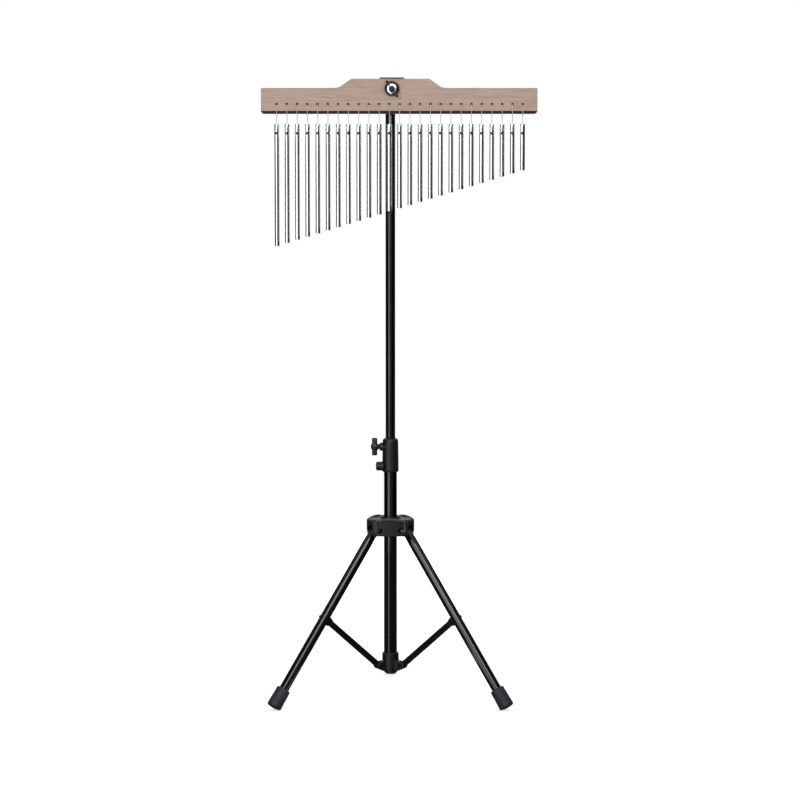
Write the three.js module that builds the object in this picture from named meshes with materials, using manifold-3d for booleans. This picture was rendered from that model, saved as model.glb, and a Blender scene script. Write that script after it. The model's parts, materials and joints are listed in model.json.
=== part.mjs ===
// A 25-bar chime (mark tree) on a folding tripod stand, in millimetres, +Z up.
// X runs along the beam from the long bars to the short ones, and Y points away from the player.
import * as THREE from "three";
import { mergeVertices } from "three/addons/utils/BufferGeometryUtils.js";
import Module from "manifold-3d";

const wasm = await Module();
wasm.setup();

// Clearances
const gap = 0.3; // between faces that rest on each other
const slidePlay = 0.3; // between a tube and what it slides in

// Beam
const beamLength = 529;
const beamThickness = 22;
const beamHeight = 49.5; // at the ends
const beamShift = 17; // centre of the beam, right of the post
const beamUnderside = 1139; // above the floor
const humpRise = 17.5;
const humpFlat = 150; // level stretch on top of the hump
const shoulderRun = 37; // from the level stretch out to the low top edge
const shoulderCurve = 18; // hollow part of that run
const shoulderStep = 3.9; // height left where the hollow part begins
const beamCornerBottom = 7;
const beamCornerTop = 2;
const chamferHeight = 6.5;
const chamferDepth = 5;

// Bars and their cords
const barCount = 25;
const barDiameter = 9.5;
const barLongest = 234;
const barShortest = 88.5;
const barBevel = 0.7;
const barBoreDiameter = 6.2; // the cord goes in at the top
const barBoreDepth = 17.5;
const barSides = 10;
const cordDiameter = 1.1;
const cordHoleDiameter = 3.8;
const cordHoleHeight = 19; // above the beam's underside
const firstHoleInset = 30; // first hole, from the beam's left end
const lastHoleInset = 28.1; // last hole, from the beam's right end
const barDrop = 19.2; // bar tops, below the beam's underside
const cordSides = 4;

// Clamp on the beam's face
const clampShift = 3; // right of the post
const clampHeight = 48.5; // above the beam's underside
const cupDiameter = 28.8;
const cupHeight = 4.6;
const cupFloor = 1.6;
const cupRim = 2.6;
const cupDraft = 0.6; // slope of the rim's inner wall
const cupEdge = 1; // bevel on the rim
const domeHeight = 3.4;
const screwDiameter = 8;
const screwHeadDiameter = 12.6;
const screwHeadLength = 13;
const screwNeckDiameter = 9; // outer part of the head, which the handle goes through
const screwFlange = 3.2; // thickness at the head's full diameter
const screwEdge = 1; // bevel on its end
const barHandleDiameter = 3.2;
const barHandleLength = 38.6; // over both balls
const barHandleBall = 5.6;
const barHandleLean = 35.5; // degrees from upright, towards the long bars

// Bracket behind the beam
const bracketWidth = 46.8;
const bracketPlate = 2.5;
const bracketBend = 2; // inside radius
const threadRun = 1; // length that a cut runs past its face
const bracketPlateBelow = 8; // plate's lower edge, above the cord holes
const socketWall = 2;
const socketSink = 1.2; // share of that wall let into the plate
const socketLength = 52;
const socketTop = 4; // lid over the post's end
const socketBelowHump = 6; // lid, below the top of the hump

// Posts
const innerPostDiameter = 19;
const outerPostDiameter = 25.4;
const postWall = 1.2;
const innerPostInsert = 150; // length inside the clutch and the outer post
const bushFlange = 8;
const bushSpigot = 20;
const bushBore = 6;

// Clutch
const clutchTop = 511; // above the floor
const clutchHeight = 66;
const clutchDiameter = 30.8;
const clutchFlare = 0.8; // added to the lower radius
const clutchShoulder = 4;
const clutchOverlap = 37; // grip on the outer post
const clutchEdge = 2; // bevel round the lower end
const knobBelowTop = 17;
const knobBossDiameter = 15.6;
const knobBossBase = 24.6; // diameter where it leaves the collar
const knobBossRound = 2.4;
const knobBossReach = 21.8; // from the post's axis
const boltBelowTop = 55;
const boltBossDiameter = 17.5;
const boltBossReach = 28;
const boltBossRound = 3;
const boltHeadDiameter = 10;
const boltHeadHeight = 4;
const boltShankDiameter = 5;
const boltKeySize = 4.8; // hexagon socket, over its corners
const boltKeyDepth = 1.6;
const knobSpan = 35;
const knobThickness = 10.4;
const knobLobe = 9.5; // width of a wing's end
const knobHubDiameter = 13;
const knobHubBulge = 2.2;
const knobEdge = 1.6; // rounding of the wings
const knobNeckDiameter = 11;
const knobNeckLength = 3.4;
const studDiameter = 6;

// Crown
const crownBottom = 322; // above the floor
const crownHeight = 33;
const crownReach = 46; // from the axis to the end of a lug
const lugWidth = 25;
const crownEdge = 3; // bevel round the top
const crownBulge = 2; // bow of each long face
const crownPlay = 3.2; // between the crown and the outer post
const panelWidth = 60; // raised panel on each long face
const panelProud = 1.2;
const panelWall = 4;
const panelCorner = 8; // radius of its lower corners
const panelDip = 3; // its upper corners, below the crown's top
const panelRise = 3; // its middle, above the crown's top
const collarRise = 3;
const collarWall = 4;
const slotWidth = 18.6;
const crownPinWall = 1.5; // from a lug's side out to the pin's head
const pinHeadRoom = 0.6; // round a pin's head

// Legs
const legSpread = 34.4; // degrees from upright
const legDiameter = 19;
const legWall = 1.2;
const legPivotRadius = 35; // from the post's axis
const legPivotAboveCrown = 11; // above the crown's underside
const legEyeThickness = 13;
const legEyeWidth = 18;
const legEyeLength = 17; // from the pivot to where the tube is round
const legFlattening = 16; // length over which the tube is pressed flat
const legPinPlay = 4; // each way, in the slotted eyes
const legPinSlack = 0.6; // added to a slotted eye's radius
const legPinTilt = 15; // degrees that the slot slopes down and out
const legSides = 14;

// Feet
const footDiameter = 29.5;
const footLength = 41;
const footTaper = 0.9; // taken off the radius at the mouth
const footRound = 4; // round its end
const footLip = 1.5; // bevel at the mouth
const footEndWall = 8;
const footFlatDepth = 1.5; // worn off where it meets the floor

// Hub at the bottom of the outer post
const hubTop = 90; // above the floor
const hubBottom = 47.5;
const hubDiameter = 32.5;
const hubFloor = 8;
const hubBowlHeight = 14; // from its underside to its full width
const hubNose = 16; // flat on the underside
const hubEdge = 1.5;
const hubPivotRadius = 27;
const hubPivotHeight = 66;
const hubEarRadius = 7;
const hubEarThickness = 4;

// Braces and the clips that hold them to the legs
const braceHeight = 11;
const braceWidth = 8;
const braceSheet = 1.5;
const bracePoint = 200; // along the leg, from its pivot
const clipSheet = 1.5;
const clipLength = 17;
const clipEarRadius = 5;
const saddleDepth = 4; // wrap round the leg
const rivetHeadDiameter = 7;
const rivetHeadHeight = 1.8;
const rivetHeadEdge = 1;

// Pivot pins
const pinDiameter = 5;
const pinHeadDiameter = 9;
const pinHeadHeight = 2.4;
const smallPinDiameter = 4;
const smallPinHead = 7;
const smallPinHeadHeight = 1.8;

// Worked out from the above
const rad = THREE.MathUtils.degToRad;
const plateBack = -(innerPostDiameter / 2 + slidePlay + socketWall - socketSink);
const beamFront = plateBack - bracketPlate - gap - beamThickness;
const beamMiddle = beamFront + beamThickness / 2;
const beamBack = beamFront + beamThickness;
const beamTop = beamUnderside + beamHeight;
const humpTop = beamTop + humpRise;
const holeHeight = beamUnderside + cordHoleHeight;
const firstHole = beamShift - beamLength / 2 + firstHoleInset;
const barPitch = (beamLength - firstHoleInset - lastHoleInset) / (barCount - 1);
const innerPostBottom = clutchTop - innerPostInsert;
const innerPostTop = humpTop - socketBelowHump - socketTop - gap;
const outerPostTop = clutchTop - clutchHeight + clutchOverlap;
const outerPostBottom = hubBottom + hubFloor + gap;
const innerPostRadius = innerPostDiameter / 2;
const outerPostRadius = outerPostDiameter / 2;
const legPivotHeight = crownBottom + legPivotAboveCrown;
const spread = rad(legSpread);
const clipPivot = legDiameter / 2 + gap + clipSheet + gap + braceHeight / 2;
const azimuths = { left: 210, right: 330, rear: 90 };
const carrier = "left"; // the leg whose eye fits its pin closely

// Materials
const wood = new THREE.MeshStandardMaterial({ color: 0xc4a492, roughness: 0.6, metalness: 0 });
const aluminium = new THREE.MeshStandardMaterial({ color: 0xd9dbde, roughness: 0.22, metalness: 1 });
const chrome = new THREE.MeshStandardMaterial({ color: 0xe8e8e8, roughness: 0.1, metalness: 1 });
const steel = new THREE.MeshStandardMaterial({ color: 0x8d8a80, roughness: 0.35, metalness: 1 });
const blackSteel = new THREE.MeshStandardMaterial({ color: 0x101014, roughness: 0.3, metalness: 0.2 });
const blackPlastic = new THREE.MeshStandardMaterial({ color: 0x1c1c1f, roughness: 0.55, metalness: 0 });
const rubber = new THREE.MeshStandardMaterial({ color: 0x2a2e33, roughness: 0.85, metalness: 0 });

// A closed geometry as a solid: shared corners are merged, slivers dropped and the faces turned outwards.
function solid(geometry) {
  const bare = new THREE.BufferGeometry();
  bare.setAttribute("position", geometry.getAttribute("position"));
  bare.setIndex(geometry.getIndex());
  const merged = mergeVertices(bare, 1e-4);
  const positions = merged.getAttribute("position").array;
  const index = merged.getIndex().array;
  const triangles = [];
  let volume = 0;
  const [a, b, c] = [new THREE.Vector3(), new THREE.Vector3(), new THREE.Vector3()];
  for (let i = 0; i < index.length; i += 3) {
    const [p, q, r] = [index[i], index[i + 1], index[i + 2]];
    if (p === q || q === r || r === p) continue;
    triangles.push(p, q, r);
    a.fromArray(positions, 3 * p);
    b.fromArray(positions, 3 * q);
    c.fromArray(positions, 3 * r);
    volume += a.dot(b.cross(c));
  }
  if (volume < 0) triangles.reverse();
  return new wasm.Manifold(
    new wasm.Mesh({
      numProp: 3,
      vertProperties: new Float32Array(positions),
      triVerts: new Uint32Array(triangles),
    }),
  );
}

// A solid as a named mesh with flat faces.
function piece(name, shape, material) {
  const mesh = shape.getMesh();
  const geometry = new THREE.BufferGeometry();
  geometry.setAttribute("position", new THREE.BufferAttribute(mesh.vertProperties, 3));
  geometry.setIndex(new THREE.BufferAttribute(mesh.triVerts, 1));
  geometry.computeVertexNormals();
  const made = new THREE.Mesh(geometry, material);
  made.name = name;
  return made;
}

// Revolves [radius, height] points about Z. A profile off the axis is closed on itself.
function revolve(profile, sides) {
  const points = profile.map(([r, z]) => new THREE.Vector2(r, z));
  const onAxis = points[0].x === 0 && points[points.length - 1].x === 0;
  if (!onAxis) points.push(points[0].clone());
  return new THREE.LatheGeometry(points, sides).rotateX(Math.PI / 2);
}

// A solid cylinder from z0 to z1.
function rod(radius, z0, z1, sides) {
  return revolve([[0, z0], [radius, z0], [radius, z1], [0, z1]], sides);
}

// A tube from z0 to z1.
function tube(outer, inner, z0, z1, sides) {
  return revolve([[inner, z0], [outer, z0], [outer, z1], [inner, z1]], sides);
}

function box(x0, x1, y0, y1, z0, z1) {
  const made = new THREE.BoxGeometry(x1 - x0, y1 - y0, z1 - z0);
  return made.translate((x0 + x1) / 2, (y0 + y1) / 2, (z0 + z1) / 2);
}

// Extrudes an outline in X and Z along Y, from y0 to y1.
function slab(outline, y0, y1, curveSegments = 4) {
  const made = new THREE.ExtrudeGeometry(outline, { depth: y1 - y0, bevelEnabled: false, curveSegments });
  return made.rotateX(Math.PI / 2).translate(0, y1, 0);
}

// Turns what lies along Z to lie along Y (towards +Y) or along X (towards +X).
const alongY = (geometry) => geometry.rotateX(-Math.PI / 2);
const alongX = (geometry) => geometry.rotateY(Math.PI / 2);

// A pin along Y through two ears, with a domed head at each end.
function pin(radius, halfGrip, headRadius, headHeight) {
  const half = halfGrip + gap / 2;
  const profile = [
    [0, -half - headHeight],
    [headRadius * 0.7, -half - headHeight],
    [headRadius, -half],
    [radius, -half],
    [radius, half],
    [headRadius, half],
    [headRadius * 0.7, half + headHeight],
    [0, half + headHeight],
  ];
  return alongY(revolve(profile, 8));
}

// Beam: humped top, rounded ends and a chamfer along both lower edges.
function beam() {
  const left = beamShift - beamLength / 2;
  const right = beamShift + beamLength / 2;
  const flat = humpFlat / 2;
  const foot = flat + shoulderRun;
  const bend = foot - shoulderCurve;
  const control = bend + shoulderCurve * 0.3;
  const cornerHeight = beamUnderside + beamCornerBottom;
  const outline = new THREE.Shape();
  outline.moveTo(left + beamCornerBottom, beamUnderside);
  outline.lineTo(right - beamCornerBottom, beamUnderside);
  outline.absarc(right - beamCornerBottom, cornerHeight, beamCornerBottom, -Math.PI / 2, 0);
  outline.absarc(right - beamCornerTop, beamTop - beamCornerTop, beamCornerTop, 0, Math.PI / 2);
  outline.lineTo(foot, beamTop);
  outline.quadraticCurveTo(control, beamTop, bend, beamTop + shoulderStep);
  outline.lineTo(flat, humpTop);
  outline.lineTo(-flat, humpTop);
  outline.lineTo(-bend, beamTop + shoulderStep);
  outline.quadraticCurveTo(-control, beamTop, -foot, beamTop);
  outline.absarc(left + beamCornerTop, beamTop - beamCornerTop, beamCornerTop, Math.PI / 2, Math.PI);
  outline.absarc(left + beamCornerBottom, cornerHeight, beamCornerBottom, Math.PI, 1.5 * Math.PI);
  let made = solid(slab(outline, beamFront, beamBack));
  for (const side of [-1, 1]) {
    const face = beamMiddle + (side * beamThickness) / 2;
    const wedge = new THREE.Shape();
    wedge.moveTo(face - side * 2 * chamferDepth, beamUnderside - chamferHeight);
    wedge.lineTo(face + side * chamferDepth, beamUnderside - chamferHeight);
    wedge.lineTo(face + side * chamferDepth, beamUnderside + 2 * chamferHeight);
    const cut = new THREE.ExtrudeGeometry(wedge, { depth: 1.1 * beamLength, bevelEnabled: false });
    cut.rotateX(Math.PI / 2).rotateZ(Math.PI / 2).translate(beamShift - 0.55 * beamLength, 0, 0);
    made = made.subtract(solid(cut));
  }
  for (let i = 0; i < barCount; i++) {
    const hole = alongY(rod(cordHoleDiameter / 2, -beamThickness, beamThickness, 7));
    made = made.subtract(solid(hole.translate(barX(i), beamMiddle, holeHeight)));
  }
  const bolt = alongY(rod(screwDiameter / 2 + gap, -beamThickness, beamThickness, 12));
  return made.subtract(solid(bolt.translate(clampShift, beamMiddle, beamUnderside + clampHeight)));
}

function barX(i) {
  return firstHole + i * barPitch;
}

function barLength(i) {
  return barLongest + ((barShortest - barLongest) * i) / (barCount - 1);
}

// A curve whose equal steps run from one of its points to the next.
class Route extends THREE.CatmullRomCurve3 {
  getUtoTmapping(u) {
    return u;
  }
}

// The cord's route, from the hole's centre: up from the bar, over the hole's two edges and down again.
function cordRoute() {
  const radius = cordDiameter / 2;
  const clear = gap + radius;
  const edge = beamThickness / 2;
  const floor = -cordHoleDiameter / 2;
  const corner = chamferHeight - cordHoleHeight;
  const barTop = -(cordHoleHeight + barDrop);
  const strand = barBoreDiameter / 2 - 2 * radius - gap;
  const bend = clear * Math.SQRT1_2;
  const half = [
    [strand, barTop - barBoreDepth - radius],
    [strand, barTop - radius],
    [edge + clear, corner],
    [edge + clear, floor],
    [edge + bend, floor + bend],
    [edge, floor + clear],
  ];
  const front = half.map(([y, z]) => new THREE.Vector3(0, -y, z));
  const back = half.map(([y, z]) => new THREE.Vector3(0, y, z)).reverse();
  return new Route([...front, ...back], false, "centripetal");
}

// A bar with its cord: a rod with a blind bore in its top, which both ends of the cord go down.
function bar(length) {
  const radius = barDiameter / 2;
  const bore = barBoreDiameter / 2;
  const top = -(cordHoleHeight + barDrop);
  const profile = [
    [0, top - length],
    [radius - barBevel, top - length],
    [radius, top - length + barBevel],
    [radius, top],
    [bore, top],
    [bore, top - barBoreDepth],
    [0, top - barBoreDepth],
  ];
  const section = new THREE.Shape();
  section.absarc(0, 0, cordDiameter / 2, 0, 2 * Math.PI);
  const route = cordRoute();
  const cord = new THREE.ExtrudeGeometry(section, {
    steps: route.points.length - 1,
    curveSegments: cordSides / 2,
    extrudePath: route,
  });
  return solid(revolve(profile, barSides)).add(solid(cord));
}

// Bracket: a folded plate behind and over the beam, on a socket that the inner post fills.
function bracket() {
  const plateFront = plateBack - bracketPlate;
  const lipUnder = humpTop + gap;
  const lipTop = lipUnder + bracketPlate;
  const outer = bracketBend + bracketPlate;
  const fold = new THREE.Shape();
  fold.moveTo(plateFront, holeHeight + bracketPlateBelow);
  fold.lineTo(plateBack, holeHeight + bracketPlateBelow);
  fold.lineTo(plateBack, lipTop - outer);
  fold.absarc(plateBack - outer, lipTop - outer, outer, 0, Math.PI / 2);
  fold.lineTo(beamFront, lipTop);
  fold.lineTo(beamFront, lipUnder);
  fold.lineTo(plateFront, lipUnder);
  const sheet = { depth: bracketWidth, bevelEnabled: false, curveSegments: 3 };
  const plate = new THREE.ExtrudeGeometry(fold, sheet);
  plate.rotateX(Math.PI / 2).rotateZ(Math.PI / 2).translate(clampShift - bracketWidth / 2, 0, 0);
  const inner = innerPostRadius + slidePlay;
  const top = humpTop - socketBelowHump;
  const socket = [
    [0, top],
    [inner + socketWall, top],
    [inner + socketWall, top - socketLength],
    [inner, top - socketLength],
    [inner, top - socketTop],
    [0, top - socketTop],
  ];
  const thread = alongY(rod(screwDiameter / 2 + gap, plateFront - threadRun, plateBack + gap, 12));
  return solid(plate)
    .add(solid(revolve(socket, 24)))
    .subtract(solid(thread.translate(clampShift, 0, beamUnderside + clampHeight)));
}

// Clamp pieces are revolved about Z and then turned to face the player.
const facePlayer = (geometry) =>
  geometry.rotateX(Math.PI / 2).translate(clampShift, beamFront - gap, beamUnderside + clampHeight);

function cupWasher() {
  const radius = cupDiameter / 2;
  const hole = screwDiameter / 2 + gap;
  return solid(
    facePlayer(
      revolve(
        [
          [hole, 0],
          [radius, 0],
          [radius, cupHeight - cupEdge],
          [radius - cupEdge, cupHeight],
          [radius - cupRim, cupHeight],
          [radius - cupRim - cupDraft, cupFloor],
          [hole, cupFloor],
        ],
        20,
      ),
    ),
  );
}

function domeWasher() {
  const radius = cupDiameter / 2 - cupRim - cupDraft - gap;
  const hole = screwDiameter / 2 + gap;
  const base = cupFloor + gap;
  const crownRadius = screwHeadDiameter / 2;
  return solid(
    facePlayer(
      revolve(
        [
          [hole, base],
          [radius, base],
          [radius * 0.97, base + domeHeight * 0.45],
          [(radius + crownRadius) / 2, base + domeHeight * 0.85],
          [crownRadius, base + domeHeight],
          [hole, base + domeHeight],
        ],
        16,
      ),
    ),
  );
}

// The handle's axis, in front of the beam's face.
const screwSeat = cupFloor + gap + domeHeight + gap;
const handleReach = screwSeat + (screwFlange + screwHeadLength) / 2;
const handlePlace = [clampShift, beamFront - gap - handleReach, beamUnderside + clampHeight];

function clampScrew() {
  const head = screwHeadDiameter / 2;
  const neck = screwNeckDiameter / 2;
  const shank = screwDiameter / 2;
  const tip = -(gap + beamThickness + bracketPlate);
  const profile = [
    [0, tip],
    [shank, tip],
    [shank, screwSeat],
    [head, screwSeat],
    [head, screwSeat + screwFlange],
    [neck, screwSeat + screwFlange + head - neck],
    [neck, screwSeat + screwHeadLength - screwEdge],
    [neck - screwEdge, screwSeat + screwHeadLength],
    [0, screwSeat + screwHeadLength],
  ];
  const cross = rod(barHandleDiameter / 2 + gap, -head * 2, head * 2, 12);
  cross.rotateY(-rad(barHandleLean)).translate(...handlePlace);
  return solid(facePlayer(revolve(profile, 12))).subtract(solid(cross));
}

// Sliding handle with a ball at each end.
function clampHandle() {
  const ball = barHandleBall / 2;
  const neck = barHandleDiameter / 2;
  const middle = barHandleLength / 2 - ball;
  const start = Math.asin(neck / ball);
  const arc = [];
  const steps = 4;
  for (let i = 0; i <= steps; i++) {
    const angle = start + ((Math.PI - start) * i) / steps;
    arc.push([i === steps ? 0 : ball * Math.sin(angle), middle - ball * Math.cos(angle)]);
  }
  const lower = arc.map(([r, z]) => [r, -z]).reverse();
  const made = revolve([...lower, ...arc], 10).rotateY(-rad(barHandleLean));
  return solid(made.translate(...handlePlace));
}

function innerPost() {
  return solid(tube(innerPostRadius, innerPostRadius - postWall, innerPostBottom, innerPostTop, 20));
}

// Plastic bush in the inner post's lower end, running in the outer post.
function innerPostBush() {
  const outer = outerPostRadius - postWall - slidePlay;
  const spigot = innerPostRadius - postWall - gap;
  const seat = innerPostBottom - gap;
  const bore = bushBore / 2;
  const profile = [
    [bore, seat - bushFlange],
    [outer, seat - bushFlange],
    [outer, seat],
    [spigot, seat],
    [spigot, seat + bushSpigot],
    [bore, seat + bushSpigot],
  ];
  return solid(revolve(profile, 20));
}

function outerPost() {
  return solid(tube(outerPostRadius, outerPostRadius - postWall, outerPostBottom, outerPostTop, 24));
}

// A boss on the clutch, out along -X: flared where it leaves the collar and rounded at its end.
function boss(radius, reach, round, base) {
  const root = clutchDiameter / 2 - clutchShoulder;
  const path = new THREE.Path();
  path.moveTo(0, 0);
  path.lineTo(base, 0);
  path.lineTo(base, root);
  path.quadraticCurveTo(radius, root, radius, root + base - radius);
  path.lineTo(radius, reach - round);
  path.absarc(radius - round, reach - round, round, 0, Math.PI / 2);
  path.lineTo(0, reach);
  const profile = path.getPoints(3).map((point) => point.toArray());
  return alongX(revolve(profile, 16)).rotateZ(Math.PI);
}

// Clutch: a moulded collar with a boss for the knob and one for the bolt that grips the outer post.
function clutchCollar() {
  const radius = clutchDiameter / 2;
  const low = radius + clutchFlare;
  const bottom = clutchTop - clutchHeight;
  const step = outerPostTop + gap;
  const upper = innerPostRadius + slidePlay;
  const lower = outerPostRadius + gap;
  const profile = [
    [upper, clutchTop],
    [radius - clutchShoulder, clutchTop],
    [radius - clutchShoulder * 0.2, clutchTop - clutchShoulder * 0.7],
    [radius, clutchTop - clutchShoulder * 1.6],
    [low, bottom + clutchEdge],
    [low - clutchEdge, bottom],
    [lower, bottom],
    [lower, step],
    [upper, step],
  ];
  const bore = solid(rod(upper, step - 1, clutchTop + 1, 24)).add(solid(rod(lower, bottom - 1, step, 24)));
  const knobBoss = boss(knobBossDiameter / 2, knobBossReach, knobBossRound, knobBossBase / 2);
  knobBoss.translate(0, 0, clutchTop - knobBelowTop);
  const boltBoss = boss(boltBossDiameter / 2, boltBossReach, boltBossRound, boltBossDiameter / 2);
  boltBoss.translate(0, 0, clutchTop - boltBelowTop);
  const stud = alongX(rod(studDiameter / 2 + slidePlay, -2 * knobBossReach, 0, 12));
  const seat = -boltBossReach + boltHeadHeight;
  const socket = alongX(rod(boltHeadDiameter / 2 + gap, -2 * boltBossReach, seat, 12));
  const shank = alongX(rod(boltShankDiameter / 2 + gap, -2 * boltBossReach, 0, 12));
  return solid(revolve(profile, 24))
    .add(solid(knobBoss))
    .add(solid(boltBoss))
    .subtract(bore)
    .subtract(solid(stud.translate(0, 0, clutchTop - knobBelowTop)))
    .subtract(solid(socket.translate(0, 0, clutchTop - boltBelowTop)))
    .subtract(solid(shank.translate(0, 0, clutchTop - boltBelowTop)));
}

// Two-lobed clamping knob moulded on its stud, in a frame with Z along the stud, away from the post.
function clutchKnob() {
  const lobe = knobLobe / 2;
  const reach = knobSpan / 2 - lobe;
  const waist = knobHubDiameter / 2;
  const outline = new THREE.Shape();
  outline.absarc(reach, 0, lobe, -Math.PI / 2, Math.PI / 2);
  outline.quadraticCurveTo(reach * 0.5, lobe, waist * 0.55, waist * 0.84);
  outline.absarc(0, 0, waist, 0.32 * Math.PI, 0.68 * Math.PI);
  outline.quadraticCurveTo(-reach * 0.5, lobe, -reach, lobe);
  outline.absarc(-reach, 0, lobe, Math.PI / 2, 1.5 * Math.PI);
  outline.quadraticCurveTo(-reach * 0.5, -lobe, -waist * 0.55, -waist * 0.84);
  outline.absarc(0, 0, waist, 1.32 * Math.PI, 1.68 * Math.PI);
  outline.quadraticCurveTo(reach * 0.5, -lobe, reach, -lobe);
  const wing = new THREE.ExtrudeGeometry(outline, {
    depth: knobThickness - 2 * knobEdge,
    bevelEnabled: true,
    bevelThickness: knobEdge,
    bevelSize: knobEdge,
    bevelOffset: -knobEdge,
    bevelSegments: 2,
    curveSegments: 3,
  });
  const neckEnd = knobBossReach + gap;
  const wingStart = neckEnd + knobNeckLength;
  const wingEnd = wingStart + knobThickness;
  wing.translate(0, 0, wingStart + knobEdge);
  const hub = [
    [0, neckEnd],
    [knobNeckDiameter / 2, neckEnd],
    [knobNeckDiameter / 2, wingStart + knobEdge / 2],
    [waist * 0.9, wingStart + knobEdge * 2],
    [waist * 0.9, wingEnd - knobEdge / 2],
    [waist * 0.75, wingEnd + knobHubBulge * 0.6],
    [waist * 0.45, wingEnd + knobHubBulge],
    [0, wingEnd + knobHubBulge],
  ];
  const stud = rod(studDiameter / 2, innerPostRadius + gap, neckEnd + 2, 12);
  const made = solid(wing).add(solid(revolve(hub, 16))).add(solid(stud));
  const turn = new THREE.Matrix4().makeRotationY(-Math.PI / 2);
  return made.transform(turn.setPosition(0, 0, clutchTop - knobBelowTop).elements);
}

// Socket-head bolt that grips the clutch on the outer post.
function clutchBolt() {
  const face = boltBossReach - boltHeadHeight - gap;
  const head = boltHeadDiameter / 2;
  const profile = [
    [0, outerPostRadius + gap],
    [boltShankDiameter / 2, outerPostRadius + gap],
    [boltShankDiameter / 2, face + gap * 2],
    [head, face + gap * 2],
    [head, face + boltHeadHeight + gap * 2],
    [0, face + boltHeadHeight + gap * 2],
  ];
  const key = rod(boltKeySize / 2, face + boltHeadHeight + 2 * gap - boltKeyDepth, 2 * boltBossReach, 6);
  const made = solid(revolve(profile, 16)).subtract(solid(key));
  const turn = new THREE.Matrix4().makeRotationY(-Math.PI / 2);
  return made.transform(turn.setPosition(0, 0, clutchTop - boltBelowTop).elements);
}

// A matrix that turns the radial plane (X out, Z up) to one leg's azimuth.
const toAzimuth = (degrees) => new THREE.Matrix4().makeRotationZ(rad(degrees)).elements;

// A panel across one of the crown's long faces, which looks along +X: rounded below and domed above.
function crownPanel() {
  const half = panelWidth / 2;
  const top = crownBottom + crownHeight;
  const face = crownReach / 2 + (lugWidth / 2) * Math.sin(Math.PI / 3);
  const low = crownBottom + panelCorner;
  const outline = new THREE.Shape();
  outline.absarc(panelCorner - half, low, panelCorner, Math.PI, 1.5 * Math.PI);
  outline.absarc(half - panelCorner, low, panelCorner, 1.5 * Math.PI, 2 * Math.PI);
  outline.lineTo(half, top - panelDip);
  outline.quadraticCurveTo(0, top + panelDip + 2 * panelRise, -half, top - panelDip);
  return slab(outline, panelWall - face, -3 * face, 5).rotateZ(Math.PI / 2);
}

// Crown: three lugs joined by bowed faces, with a slot in each lug for a leg's eye.
function crown() {
  const half = lugWidth / 2;
  const angles = Object.values(azimuths).sort((a, b) => a - b);
  const outline = new THREE.Shape();
  const corner = (degrees, side) => {
    const point = new THREE.Vector2(crownReach - crownEdge, side * (half - crownEdge));
    return point.rotateAround(new THREE.Vector2(), rad(degrees));
  };
  angles.forEach((degrees, i) => {
    const start = corner(degrees, -1);
    const end = corner(degrees, 1);
    const next = corner(angles[(i + 1) % 3], -1);
    if (i === 0) outline.moveTo(start.x, start.y);
    outline.lineTo(end.x, end.y);
    const middle = end.clone().add(next).multiplyScalar(0.5);
    const control = middle.setLength(middle.length() + 2 * crownBulge);
    outline.quadraticCurveTo(control.x, control.y, next.x, next.y);
  });
  const grown = (size, edge, rise) => {
    const made = new THREE.ExtrudeGeometry(outline, {
      depth: crownHeight + rise - 2 * edge,
      bevelEnabled: true,
      bevelThickness: edge,
      bevelSize: size,
      bevelSegments: 1,
      curveSegments: 4,
    });
    return made.translate(0, 0, crownBottom + edge);
  };
  const body = grown(crownEdge, crownEdge, 0);
  const bore = outerPostRadius + crownPlay;
  const collar = rod(bore + collarWall, crownBottom + 1, crownBottom + crownHeight + collarRise, 24);
  let made = solid(body).add(solid(collar));
  const envelope = solid(grown(crownEdge + panelProud, panelProud, panelRise + 1));
  for (const degrees of angles) {
    const panel = solid(crownPanel()).transform(toAzimuth(degrees - 60));
    made = made.add(panel.intersect(envelope));
  }
  made = made.subtract(solid(rod(bore, crownBottom - 1, crownBottom + crownHeight + collarRise + 1, 24)));
  const slotRoof = legPivotHeight + legEyeWidth / 2 + 2 * gap;
  const slotInner = legPivotRadius - legEyeWidth / 2 - legPinPlay - gap;
  for (const degrees of angles) {
    const half = slotWidth / 2;
    const slot = box(slotInner, 2 * crownReach, -half, half, crownBottom - 1, slotRoof);
    const hole = alongY(rod(pinDiameter / 2 + gap, -crownReach, crownReach, 8));
    made = made.subtract(solid(slot).transform(toAzimuth(degrees)));
    const shaft = solid(hole.translate(legPivotRadius, 0, legPivotHeight));
    made = made.subtract(shaft.transform(toAzimuth(degrees)));
    for (const side of [-1, 1]) {
      const face = side * crownPinGrip;
      const spot = alongY(rod(pinHeadDiameter / 2 + pinHeadRoom, 0, crownReach, 10));
      if (side < 0) spot.rotateX(Math.PI);
      const recess = solid(spot.translate(legPivotRadius, face, legPivotHeight));
      made = made.subtract(recess.transform(toAzimuth(degrees)));
    }
  }
  return made;
}

// Half the thickness of crown that a leg's pin holds.
const crownPinGrip = lugWidth / 2 + crownPinWall;

// A ring of points in the plane at height z: a circle pressed to the given width in X and thickness in Y.
function pressedRing(width, thickness, z, sides) {
  const points = [];
  for (let i = 0; i < sides; i++) {
    const angle = (2 * Math.PI * i) / sides;
    const flat = thickness / width;
    const x = (width / 2) * Math.cos(angle);
    const y = (width / 2) * Math.sin(angle);
    points.push(new THREE.Vector3(x, THREE.MathUtils.clamp(y, (-width / 2) * flat, (width / 2) * flat), z));
  }
  return points;
}

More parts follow.
